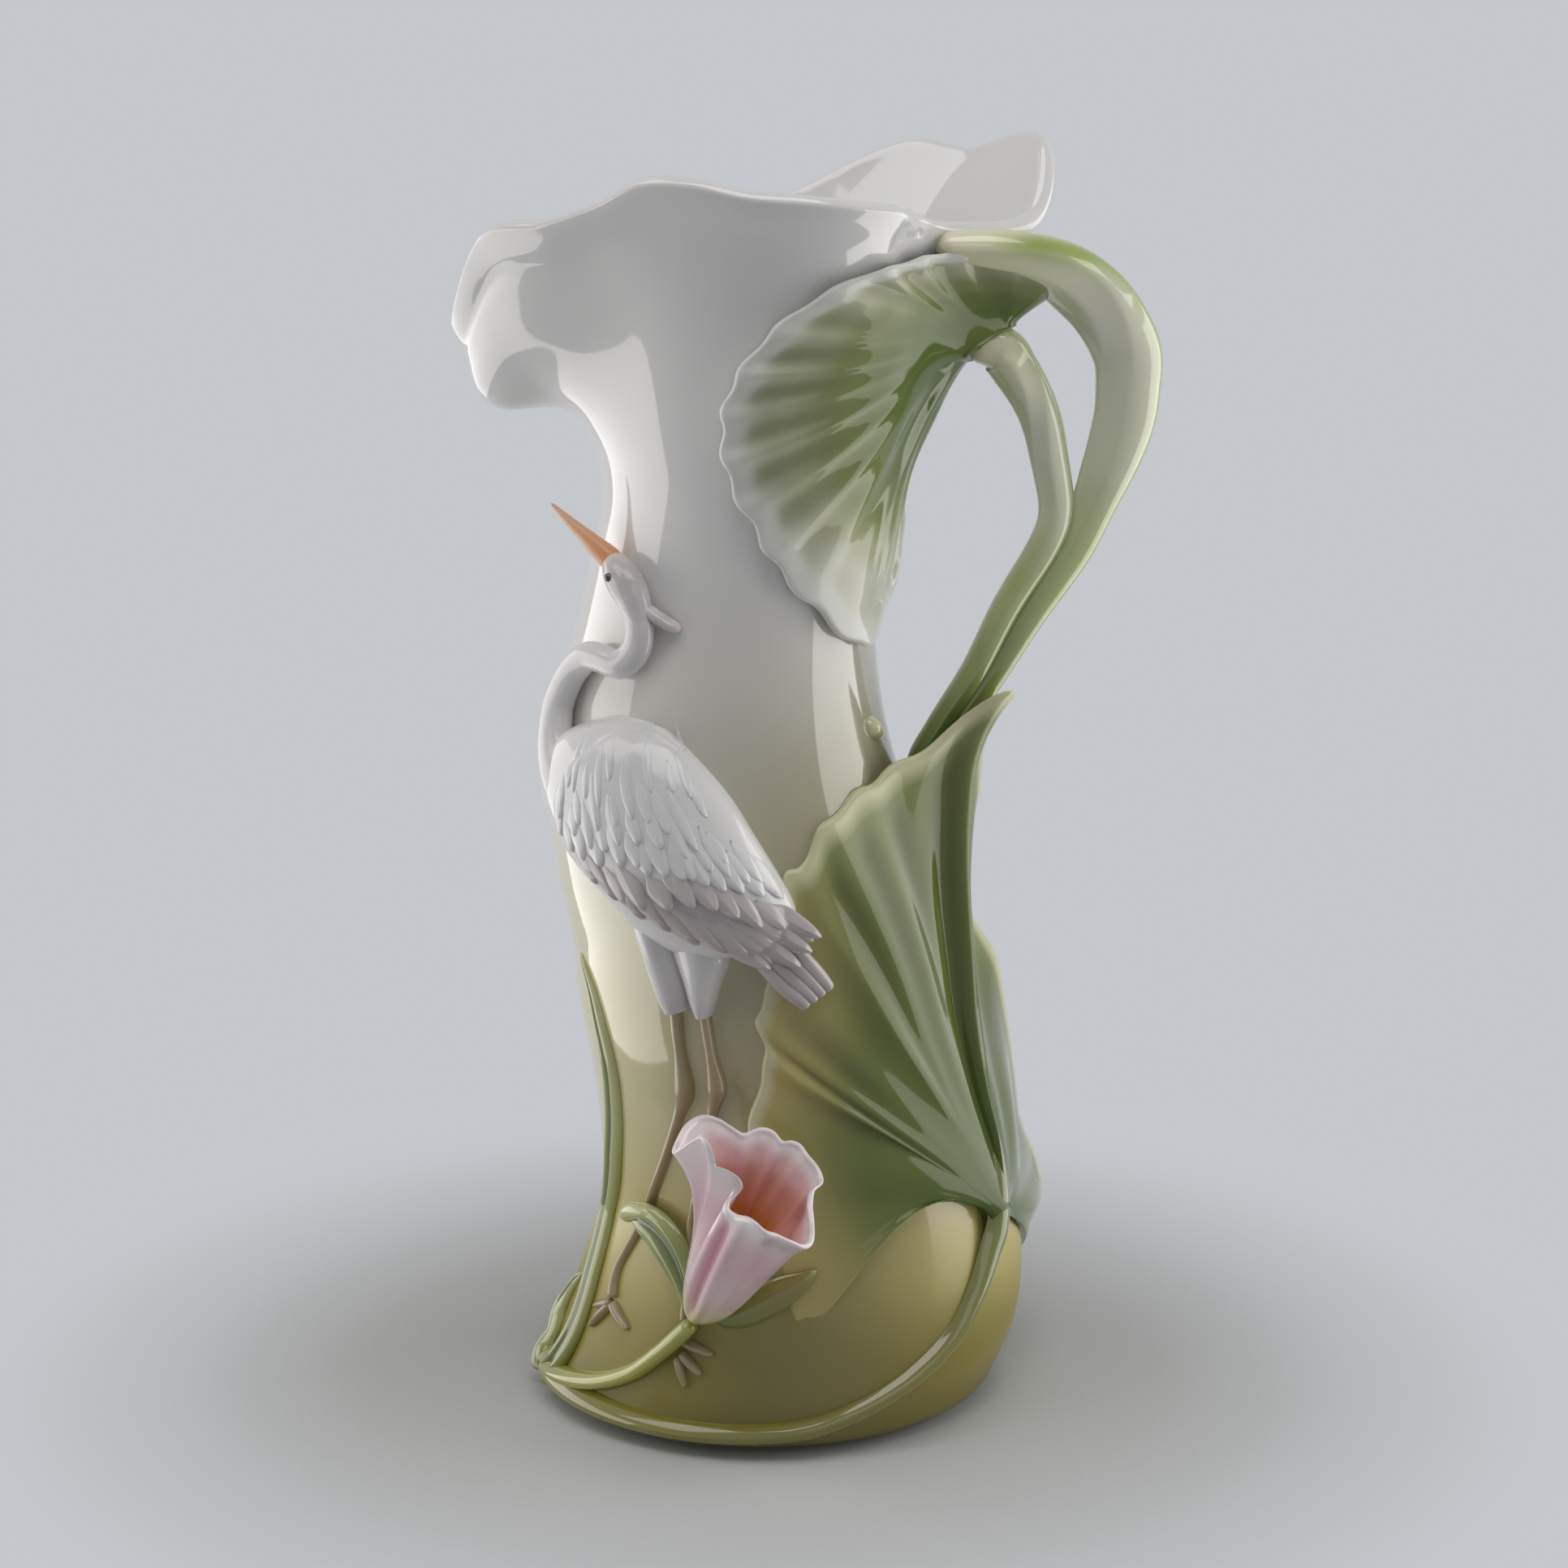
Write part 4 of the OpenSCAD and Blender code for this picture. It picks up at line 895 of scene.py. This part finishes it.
cup_profile = [[0, 1.2], [0.05, 3.4], [0.15, 5.6], [0.3, 7.2], [0.45, 8], [0.6, 8.6], [0.75, 9.2], [0.9, 9.8], [1, 10]]
flower_round = 0.03


def petal_row(s):
    """Direction, reach and rise of the rim at s, which goes once round from 0 to 1."""
    count = len(petal_rim)
    before = [(phi - 360, r, h) for phi, r, h in petal_rim[-2:]]
    after = [(phi + 360, r, h) for phi, r, h in petal_rim[:3]]
    return along(before + petal_rim + after, s * count + len(before))


def flower_shape(a, b):
    v, lip = there_and_back(b, flower_round)
    inner = 0.5 - 0.5 * np.cos(lip)
    rim = petal_row(a)
    cup = along(cup_profile, v * (len(cup_profile) - 1))
    phi = np.radians(rim[:, 0])
    late = 2.4 + 2.1 * bell(rim[:, 0] - 176, 34) - bell((rim[:, 0] + 185) % 360 - 180, 50)
    r = (cup[:, 1] + (rim[:, 1] - cup_profile[-1][1]) * v ** late) / 1000
    rise = rim[:, 2] * cup[:, 0] / 1000
    groove = bell(rim[:, 0] - 98, 12) * smooth(0.12, 0.35, v) * (1 - smooth(0.8, 1, v))
    fold = bell(rim[:, 0] - 73, 11) * smooth(0.15, 0.4, v) * (1 - smooth(0.85, 1, v))
    shoulder = bell(rim[:, 0] - 313, 18) * bell(v - 0.8, 0.16)
    curl = 0.0012 * smooth(0.84, 1, v)
    r = r - 0.0022 * groove + 0.0012 * fold + 0.0040 * shoulder + curl
    r = np.maximum(0.0003, r - petal_t * inner * smooth(0, 0.2, v))
    rise = rise + petal_t / 2 * np.sin(lip) + np.where(b > 0.5, 0.004 * (1 - v), 0)
    ring = flower_x * np.cos(phi)[:, None] - flower_y * np.sin(phi)[:, None]
    points = flower_root + flower_axis * rise[:, None] + ring * r[:, None]
    step = 0.7 / len(petal_rim)
    hollow = petal_row(a + step)[:, 1] - 2 * rim[:, 1] + petal_row(a - step)[:, 1]
    crease = np.clip(0.7 * np.clip(hollow / 2.5, 0, 1) * smooth(0.3, 0.8, v) + 0.8 * groove, 0, 1)
    streak = (0.5 + 0.5 * np.sin(26 * phi + 3 * np.sin(5 * phi))) * smooth(0.2, 0.4, v) * (1 - smooth(0.55, 0.8, v))
    return points, {"tone": np.where(b > 0.5, 1 - 0.5 * v, 0.5 * v), "edge": smooth(0.9, 0.985, v),
                    "crease": crease, "streak": 0.6 * streak * (b > 0.5)}


flower_glaze = glaze(
    "flower_glaze",
    [(0.0, 206, 194, 108), (0.05, 222, 209, 142), (0.12, 234, 222, 188), (0.2, 235, 209, 212),
     (0.36, 230, 192, 203), (0.47, 240, 225, 229), (0.55, 230, 188, 188), (0.62, 222, 166, 148),
     (0.69, 218, 148, 84), (0.8, 208, 128, 40)],
    [("crease", 222, 158, 176), ("streak", 204, 120, 58), ("edge", 242, 231, 234)], cloud=0.06, flesh=0.05)
add_piece("bell_flower", flower_glaze, "flower_glaze", "flower", (370, 120, flower_shape))

# %% [markdown]
# ## Egret
# The egret stands in high relief. Its body is a patch between two outlines on the wall, the belly and the back, and
# it swells between them. Neck, head and beak are rolled like the stems, and legs and toes are strips.

# %% Egret body
belly_line = [
    (205, 0.742), (200, 0.713), (200, 0.679), (208, 0.645), (219, 0.611), (229, 0.582), (237, 0.553), (250, 0.533),
    (266, 0.530)]
back_line = [
    (221, 0.772), (236, 0.779), (252, 0.770), (264, 0.740), (273.5, 0.703), (280, 0.657), (284.5, 0.618),
    (286.5, 0.592), (286, 0.566)]
body_rise = [0.0045, 0.0075, 0.0100, 0.0115, 0.012, 0.0115, 0.0098, 0.0075, 0.005]


def patch(low_line, high_line, a, b, ends):
    """Angle and height share between two outlines, over their patch of the wall and back beneath it, with the place
    across, whether it is on top, and how far the patch's ends are rounded there."""
    last = len(low_line) - 1
    x, top = over_and_under(a)
    cap = capped(b, last, ends)
    low, high = along(low_line, b * last), along(high_line, b * last)
    angle, share = ((low + high) / 2 + (high - low) / 2 * (x * cap)[:, None]).T
    return angle, share, x, top, cap


def body_shape(a, b):
    angle, share, x, top, cap = patch(belly_line, back_line, a, b, ends=0.9)
    crown = np.maximum(0, 1 - np.abs(x) ** 2.3) ** 0.62
    rise = along(body_rise, b * (len(body_rise) - 1)) * crown
    lift = np.where(top, (rise + sink) * cap * (np.abs(x) < rim_of_strip), 0) - sink
    return on_wall(angle, share, lift), {"tone": 0.4 * b, "dusk": 0 * b}


egret_glaze = glaze(
    "egret_glaze", [(0.0, 232, 232, 233), (0.5, 230, 229, 230), (1.0, 214, 210, 213)],
    [("dusk", 190, 181, 184)], cloud=0.2, gloss=(0.08, 0.16), coat=0.3, flesh=0.05)
feather_glaze = glaze(
    "feather_glaze", [(0.0, 206, 200, 201), (0.5, 193, 185, 185), (1.0, 180, 171, 171)],
    cloud=0.2, gloss=(0.10, 0.18), coat=0.3)
body_grid = (130, 150, body_shape)
add_piece("egret_body_form", egret_glaze, "egret_glaze", "egret_body", body_grid)

# %% [markdown]
# ## Feathers
# The wing is rows of feathers that overlap like shingles: short white coverts down to a scalloped line, then lilac
# grey ones that get longer towards the tail. A bump map would vanish in the exported mesh, so each feather is a small
# solid. Its grid is laid on the body by casting rays at it from outside, and it thickens towards a rounded tip, which
# is what makes one row stand over the next.

# %% Feathers laid on the body
def tree_of(*grids):
    """Search tree of bent grids, for rays that look for their surface."""
    bm = formed(*grids)
    tree = BVHTree.FromBMesh(bm)
    bm.free()
    return tree


body_tree = tree_of(body_grid)
ray_start, ray_reach = 0.04, 0.041
feather_base, feather_sink = 0.008, 0.0004


def laid_on(tree, angle, share, lift, spare=0.0):
    """Points over a mesh that is on the wall, and never lower than a spare height over the wall itself."""
    start = on_wall(angle, share, ray_start)
    wall = on_wall(angle, share, 0)
    found = []
    for p, w, rise in zip(start, wall, lift):
        way = Vector(w - p).normalized()
        hit = tree.ray_cast(Vector(p), way, ray_reach)[0]
        height = 0 if hit is None else (Vector(w) - hit).length
        found.append(w - np.array(way) * (rise + max(height, spare)))
    return np.array(found)


wing_low = [
    (224, 0.722), (221, 0.69), (224, 0.655), (229, 0.633), (236.5, 0.614), (243, 0.594), (250, 0.582), (256, 0.569),
    (262, 0.556), (270, 0.545), (278, 0.54)]
wing_high = [
    (231, 0.75), (239, 0.772), (250, 0.768), (259, 0.751), (267, 0.727), (273.5, 0.699), (278.5, 0.668),
    (282.5, 0.637), (285.5, 0.608), (287, 0.585), (287.5, 0.566)]
wing_rise = 0.0016


def wing_shape(a, b):
    angle, share, x, top, cap = patch(wing_low, wing_high, a, b, ends=1.2)
    lift = np.where(top, wing_rise * np.maximum(0, 1 - np.abs(x) ** 6) ** 0.5 * cap, -sink)
    below = np.clip(1.4 * (b - 0.25), 0, 1) - (0.5 + 0.5 * x)
    marks = {"tone": 0.2 + 0 * a, "dusk": smooth(-0.03, 0.08, below)}
    return laid_on(body_tree, angle, share, lift), marks


def feather_shape(root, tip, half_width, tip_rise, tone, point, spare):
    """Feather between two places (angle, share), with its half width in metres."""
    root, tip = np.array(root, float), np.array(tip, float)
    here = on_wall(root[0], root[1], feather_base)
    degree = np.linalg.norm(on_wall(root[0] + 1, root[1], feather_base) - here)
    scale = np.array([degree, throat_h - foot_h])
    step = (tip - root) * scale
    across = np.array([step[1], -step[0]]) / np.linalg.norm(step) / scale

    def shape(a, b):
        x, top = over_and_under(a)
        outline = smooth(-0.15, 0.5, b) * np.maximum(0, 1 - np.clip((b - 0.45) / 0.55, 0, 1) ** point) ** 0.65
        place = root + (tip - root) * b[:, None] + across * (x * outline * half_width)[:, None]
        crown = np.maximum(0, 1 - np.abs(x) ** 2.4) ** 0.6
        edge = np.sqrt(np.clip((1 - b) / 0.15, 0, 1))
        shaft = 1 + 0.16 * bell(x, 0.14)
        lift = np.where(top, (0.0001 + tip_rise * b ** 1.4) * crown * edge * shaft, -feather_sink)
        marks = {"tone": tone + 0.3 * b - 0.15 * (1 - np.abs(x)), "dusk": 0 * a}
        return laid_on(wing_tree, place[:, 0], place[:, 1], lift, spare), marks

    return shape


def feather_row(line, count, ways, length, half_width, tip_rise, tone, jitter=0.0, point=2.2, spare=0.001):
    """Feathers whose tips lie on a line of places. Ways are the directions (degrees, share) of the first and last."""
    made = []
    for k in range(count):
        share = (k + 0.5) / count
        u = np.array([share * (len(line) - 1)])
        shift = jitter * np.array([math.sin(7.1 * k + 40 * tone), 0.006 * math.cos(5.3 * k + 31 * tone)])
        tip = along(line, u)[0] + shift
        way = mix(np.array(ways[0]), np.array(ways[1]), share)
        size = mix(*length, share) * (1 + 0.25 * jitter * math.sin(3.7 * k))
        made.append(feather_shape(tip - way * size, tip, mix(*half_width, share), tip_rise, tone, point, spare))
    return made


wing_grid = (90, 110, wing_shape)
wing_tree = tree_of(wing_grid, body_grid)

# %% [markdown]
# The coverts are white. Over the shoulder they are only soft strokes, and along their lower line they end in a row of
# full scallops.

# %% Coverts
white_line = [
    (222.5, 0.655), (228.3, 0.638), (237.7, 0.641), (247.9, 0.643), (251.2, 0.628), (258.2, 0.632), (263.2, 0.634),
    (270.0, 0.618), (277.0, 0.606), (284, 0.600)]
soft_strokes = (
    feather_row([(228, 0.728), (231, 0.704), (239, 0.69)], 5, [(0.5, -0.04), (1.8, -0.04)], length=(1.0, 1.3),
                half_width=(0.0009, 0.0010), tip_rise=0.0004, tone=0.1, jitter=1.1)
    + feather_row([(241, 0.735), (250, 0.722), (259, 0.706), (267, 0.684)], 6, [(2, -0.04), (5, -0.04)],
                  length=(1.0, 1.4), half_width=(0.0009, 0.0010), tip_rise=0.0004, tone=0.12, jitter=1.6)
    + feather_row([(225, 0.69), (236, 0.68), (248, 0.682), (260, 0.672), (272, 0.65)], 9,
                  [(1.2, -0.042), (5, -0.038)], length=(1.0, 1.4), half_width=(0.0012, 0.0014), tip_rise=0.0007,
                  tone=0.15, jitter=1.4)
    + feather_row([(223, 0.672), (235, 0.658), (247, 0.661), (259, 0.652), (270, 0.636), (280, 0.616)], 12,
                  [(1.2, -0.04), (5, -0.034)], length=(1.0, 1.3), half_width=(0.0015, 0.0017), tip_rise=0.0010,
                  tone=0.18, jitter=1.2))
scallops = feather_row(white_line, 15, [(0.9, -0.04), (5, -0.032)], length=(1, 1.3), half_width=(0.0021, 0.0024),
                       tip_rise=0.0013, tone=0.2, jitter=0.9, point=1.6)
add_piece("wing_covert_feathers", egret_glaze, "egret_glaze", "wing_coverts", wing_grid,
          *[(18, 16, feather) for feather in soft_strokes + scallops])

# %% [markdown]
# The long feathers are lilac grey and lie in two rows below the coverts. Four quills at the end of the wing are placed
# one by one, because they are large enough to be told apart.

# %% Long feathers
grey_line = [
    (230, 0.616), (240.6, 0.600), (247.7, 0.596), (256.4, 0.599), (264.2, 0.597), (270.8, 0.589), (277, 0.579),
    (284, 0.574)]
long_line = [
    (236.5, 0.605), (243, 0.584), (250, 0.572), (256.7, 0.558), (264, 0.549), (271, 0.541), (277, 0.535),
    (281.5, 0.537), (285.3, 0.548), (290, 0.560)]
grey_rows = (
    feather_row(long_line, 10, [(6, -0.05), (11, -0.036)], length=(1.15, 1.35), half_width=(0.0031, 0.0027),
                tip_rise=0.0020, tone=0.45, jitter=0.25, point=1.8, spare=0.0055)
    + feather_row(grey_line, 9, [(3, -0.045), (7, -0.036)], length=(1.05, 1.2), half_width=(0.0031, 0.0027),
                  tip_rise=0.0020, tone=0.15, jitter=0.7, point=1.7))
quill_ends = [
    ((262, 0.572), (275, 0.530)), ((268, 0.578), (283, 0.531)), ((271, 0.592), (287, 0.546)),
    ((274, 0.604), (290.5, 0.5605))]
quills = [feather_shape(root, tip, half_width=0.0032, tip_rise=0.0022, tone=0.45, point=1.5, spare=0.0062)
          for root, tip in quill_ends]
add_piece("wing_long_feathers", feather_glaze, "feather_glaze", "wing_feathers",
          *[(24, 26, feather) for feather in grey_rows + quills])

# %% [markdown]
# ## Tail
# Four blunt fingers stick out under the wing. They are strips like the grass, each a step lower than the last.

# %% Tail
tail_rows = [[[275.5 - 2.6 * k, 0.588 - 0.009 * k, 0.7, 0.8, 1], [283.5 - 2.6 * k, 0.542 - 0.009 * k, 1, 1, 1],
              [287.3 - 2.5 * k, 0.518 - 0.007 * k, 1.05, 1, 1], [290.2 - 2.5 * k, 0.5 - 0.0055 * k, 0.75, 0.7, 1]]
             for k in range(4)]
tail_strips = [relief_shape(rows, width=0.0037, rise=0.0021, over=0.0032, ends=0.35) for rows in tail_rows]
add_piece("tail_finger_feathers", feather_glaze, "feather_glaze", "tail_feathers",
          *[(26, 50, strip) for strip in tail_strips])

# %% [markdown]
# ## Neck and head
# The neck is one roll of clay, bent into an S on the wall, and the head and the beak are shorter rolls at its end. The
# stems' formula makes all three, with no stand-off except for the beak, which leaves the wall. Its glaze is matter
# than the rest. The eye is a bead set into the head, and the crest a strip that trails from it.

# %% Neck, head, beak and eye
neck_rows = [
    [220, 0.672, 0, 0.9], [217.5, 0.692, 0, 1.15], [214, 0.712, 0, 1.2], [210, 0.732, 0, 1.12],
    [207, 0.755, 0, 1.02], [206, 0.78, 0, 0.95], [210, 0.813, 0, 0.9], [216.5, 0.833, 0, 0.86],
    [223.6, 0.836, 0, 0.84], [232.5, 0.834, 0, 0.84], [237.8, 0.85, 0, 0.84], [238, 0.87, 0, 0.82],
    [235.5, 0.889, 0, 0.78], [232.5, 0.905, 0, 0.7]]
add_piece("egret_neck_curve", egret_glaze, "egret_glaze", "egret_neck",
          (40, 210, stem_shape(neck_rows, reach=0, thick=0.008, wide=0.0086)))
head_rows = [
    [238.3, 0.87, 0, 0.5], [237, 0.882, 0, 0.72], [235, 0.895, 0, 0.84], [232.5, 0.908, 0, 0.95],
    [229.5, 0.918, 0, 1.0], [226, 0.926, 0, 0.95], [222.5, 0.932, 0, 0.82], [219, 0.937, 0, 0.66]]
head_glaze = glaze(
    "head_glaze", [(0.0, 230, 229, 231), (0.35, 220, 217, 219), (0.65, 200, 194, 195), (1.0, 222, 212, 204)],
    cloud=0.2, gloss=(0.08, 0.16), coat=0.3)
head_grid = (40, 80, stem_shape(head_rows, reach=0, thick=0.0088, wide=0.0092, ends=0.8))
add_piece("egret_head_form", head_glaze, "egret_glaze", "egret_head", head_grid)
beak_rows = [
    [220, 0.934, 0.02, 0.85], [217.5, 0.9392, 0.05, 0.95], [213, 0.95, 0.24, 0.8], [208.5, 0.961, 0.45, 0.6],
    [202.5, 0.975, 0.73, 0.38], [197, 0.988, 1, 0.12]]
beak_glaze = glaze(
    "beak_glaze", [(0.0, 228, 152, 104), (0.5, 232, 170, 126), (0.85, 228, 182, 154), (1.0, 204, 170, 158)],
    [("rib", 214, 142, 98)], cloud=0.08, cloud_scale=40, gloss=(0.26, 0.34), ripple=0.0, coat=0.0)
add_piece("egret_beak_cone", beak_glaze, "beak_glaze", "egret_beak",
          (48, 90, stem_shape(beak_rows, reach=0.0135, thick=0.0060, wide=0.0058, ends=0.3)))

eye_glaze = glaze("eye_glaze", [(0.0, 16, 14, 14), (1.0, 30, 26, 26)], gloss=(0.03, 0.06), coat=1.0)
eye_r = 0.0011
eye_angle, eye_share, eye_depth = (np.array([value]) for value in (226.2, 0.9262, 0.0002))
eye_middle = laid_on(tree_of(head_grid), eye_angle, eye_share, -eye_depth)[0]
bm = bmesh.new()
bmesh.ops.create_uvsphere(bm, u_segments=24, v_segments=16, radius=eye_r)
bmesh.ops.translate(bm, verts=bm.verts, vec=eye_middle)
settle(bm, "egret_eye_bead", eye_glaze, "egret_eye")

crest_rows = [
    [233, 0.906, 0.7, 0.8, 1], [236.5, 0.8985, 0.9, 0.9, 1], [240.5, 0.8905, 0.9, 1, 0.6],
    [245.7, 0.8815, 0.95, 1, 0.3], [249.5, 0.877, 0.85, 0.9, 0.2], [252.5, 0.8735, 0.4, 0.5, 0.1]]
add_piece("egret_crest_plume", head_glaze, "feather_glaze", "egret_crest",
          (26, 60, relief_shape(crest_rows, width=0.0034, rise=0.0026, over=0.004)))

# %% [markdown]
# ## Legs
# Feathered thighs come out from under the body, and thin legs with a knot at the joint go down behind the flower. On
# ware like this they are rolled threads of clay, pressed on and touched up with brown. The same strips serve again,
# and three short ones make each foot's toes.

# %% Thighs, legs and toes
far_thigh = [
    [241, 0.60, 1.0, 0.7], [241.2, 0.572, 1.2, 1], [242, 0.542, 1.15, 1.1], [242.4, 0.51, 1.1, 1],
    [242.9, 0.487, 1.0, 0.85], [243.3, 0.469, 0.7, 0.7]]
near_thigh = [
    [257, 0.59, 2.0, 0.7], [256, 0.56, 2.0, 1], [254.8, 0.532, 1.7, 1.1], [253.2, 0.505, 1.15, 1],
    [252.4, 0.485, 0.85, 0.85], [252.1, 0.468, 0.5, 0.7]]
add_piece("egret_thigh_feathers", egret_glaze, "egret_glaze", "egret_thighs",
          *[(32, 80, relief_shape(rows, width=0.0085, rise=0.0055, profile=soft_dome, ends=0.12))
            for rows in (far_thigh, near_thigh)])
leg_glaze = glaze(
    "leg_glaze", [(0.0, 178, 160, 126), (0.5, 164, 146, 110), (1.0, 172, 156, 114)], cloud=0.3,
    gloss=(0.10, 0.18), coat=0.3)
shank = 0.6
far_leg = [
    [243.6, 0.478, 0.6, 0.8], [243.2, 0.45, 0.6, 0.8], [242.8, 0.42, 0.62, 0.8], [241.5, 0.382],
    [238, 0.355, 0.58, 0.7], [229, 0.295, 0.48, shank], [221, 0.243, 0.48, shank], [211.5, 0.17, 0.5, shank],
    [212.5, 0.13, 0.6, 0.7]]
near_leg = [
    [252.4, 0.475, 0.6, 0.8], [252.6, 0.45, 0.6, 0.8], [252.6, 0.424, 0.62, 0.8], [252, 0.39],
    [249, 0.362, 0.58, 0.7], [243, 0.3, 0.48, shank], [237.8, 0.252, 0.48, shank], [236, 0.22, 0.48, shank],
    [237.5, 0.16, 0.48, shank], [238.5, 0.132, 0.5, shank]]
leg_form = {"width": 0.005, "rise": 0.003, "ends": 0.2}
add_piece("egret_far_leg", leg_glaze, "leg_glaze", "far_leg", (24, 160, relief_shape(far_leg, **leg_form)))
add_piece("egret_near_leg", leg_glaze, "leg_glaze", "near_leg", (24, 170, relief_shape(near_leg, **leg_form)))


def toe_shape(start, end):
    rows = [[*mix(np.array(start), np.array(end), k / 3), *form] for k, form in
            enumerate([(0.8, 0.9), (1, 1), (0.85, 0.9), (0.5, 0.6)])]
    return relief_shape(rows, width=0.0025, rise=0.0021, ends=0.4)


far_toes = [((212.5, 0.126), (205.2, 0.112)), ((212.5, 0.124), (206.3, 0.09)), ((213, 0.126), (222, 0.106))]
near_toes = [((239.5, 0.112), (248.5, 0.103)), ((239.8, 0.1), (247, 0.08)), ((239, 0.096), (244, 0.064))]
for name, node, toes in (("egret_far_toes", "far_foot", far_toes), ("egret_near_toes", "near_foot", near_toes)):
    add_piece(name, leg_glaze, "leg_glaze", node, *[(20, 40, toe_shape(*ends)) for ends in toes])

# %% [markdown]
# ## Studio
# A plain pale sweep runs under the ewer and up behind it. It takes the ewer's shadow close by, and further out it
# shows an even pale colour to the camera and to mirror-like rays, as an evenly lit studio would. A Light Path node
# tells those rays from the ones that only carry light about.

# %% Sweep
def seen_rays(tree):
    """1 for rays from the camera and for those that glossy or clear surfaces send on, 0 for the rest."""
    rays = wire(tree, "ShaderNodeLightPath").outputs
    mirrored = maths(tree, "ADD", rays["Is Glossy Ray"], rays["Is Transmission Ray"])
    return maths(tree, "ADD", rays["Is Camera Ray"], mirrored, clamped=True)


pale_grey = paint(196, 199, 203)
shadow_near, shadow_far = 0.09, 0.21
sweep_paint, tree, shader, spot = new_finish("studio_sweep")
cloth = colours(tree, noise(tree, spot, 700, 2), [(0, 204, 207, 210), (1, 211, 214, 217)])
feed(tree, shader, {"Base Color": cloth, "Roughness": 0.8})
away = wire(tree, "ShaderNodeVectorMath", {0: spot}, operation="LENGTH").outputs["Value"]
share = maths(tree, "MULTIPLY", seen_rays(tree), eased(tree, away, shadow_near, shadow_far, 0, 1))
pale = wire(tree, "ShaderNodeEmission", {"Color": pale_grey}).outputs[0]
both = wire(tree, "ShaderNodeMixShader", {0: share, 1: shader.outputs[0], 2: pale}).outputs[0]
tree.links.new(both, tree.nodes["Material Output"].inputs["Surface"])
sweep_bend, sweep_back = 0.8, 1.4
sweep_front, sweep_end = -2.0, 4.5
half_width_here, half_width_gain = 0.21, 0.16


def sweep_shape(a, b):
    length = mix(sweep_front, sweep_end, b)
    turn = np.clip((length - sweep_back) / sweep_bend, 0, math.pi / 2)
    y = np.minimum(length, sweep_back) + sweep_bend * np.sin(turn)
    z = sweep_bend * (1 - np.cos(turn)) + np.maximum(0, length - sweep_back - sweep_bend * math.pi / 2)
    x = (2 * a - 1) * (half_width_here + half_width_gain * np.maximum(0, y))
    return np.stack([x, y, z], -1), {}


sweep = object_of(formed((8, 120, sweep_shape)), "studio_sweep", sweep_paint)
print("sweep", round(sweep_end - sweep_front, 1), "m long")

# %% [markdown]
# Five soft boxes light the ewer. One on each side reaches below the narrow sweep's level and draws the long bright
# strips down the glaze. A high one on the left and one overhead model the mouth and the feathers, and a weak one in
# front fills. The world adds an even grey so that no shadow goes black.

# %% Lamps and world
warm_white = (1.0, 0.975, 0.945)


def soft_box(name, azimuth, distance, height, size, power, aim=0.16):
    """Oblong lamp at an angle from the camera's side, to the right if positive, facing the ewer."""
    turn = math.radians(azimuth)
    place = Vector((distance * math.sin(turn), -distance * math.cos(turn), height))
    data = bpy.data.lights.new(name, "AREA")
    data.shape = "RECTANGLE"
    data.size, data.size_y = size
    data.energy = power
    data.color = warm_white
    lamp = bpy.data.objects.new(name, data)
    lamp.location = place
    lamp.rotation_euler = (Vector((0, 0, aim)) - place).to_track_quat("-Z", "Y").to_euler()
    lamp.visible_camera = False
    bpy.context.scene.collection.objects.link(lamp)


soft_box("left_box", azimuth=-98, distance=0.62, height=-0.06, size=(0.8, 0.88), power=4.0, aim=-0.06)
soft_box("right_box", azimuth=94, distance=0.62, height=0.0, size=(0.6, 0.9), power=3.7, aim=0.0)
soft_box("left_high_box", azimuth=-72, distance=0.55, height=0.98, size=(0.6, 0.5), power=1.6)
soft_box("top_box", azimuth=30, distance=0.35, height=1.2, size=(0.9, 0.7), power=4.4)
soft_box("front_fill", azimuth=20, distance=1.9, height=1.1, size=(1.0, 0.8), power=1.7)
world = bpy.data.worlds.new("studio")
world.use_nodes = True
tree = world.node_tree
even = tree.nodes["Background"]
feed(tree, even, {"Color": paint(212, 214, 218), "Strength": 0.10})
pale = wire(tree, "ShaderNodeBackground", {"Color": pale_grey}).outputs[0]
both = wire(tree, "ShaderNodeMixShader", {0: seen_rays(tree), 1: even.outputs[0], 2: pale}).outputs[0]
tree.links.new(both, tree.nodes["World Output"].inputs["Surface"])
bpy.context.scene.world = world
print("five soft boxes and an even grey world")
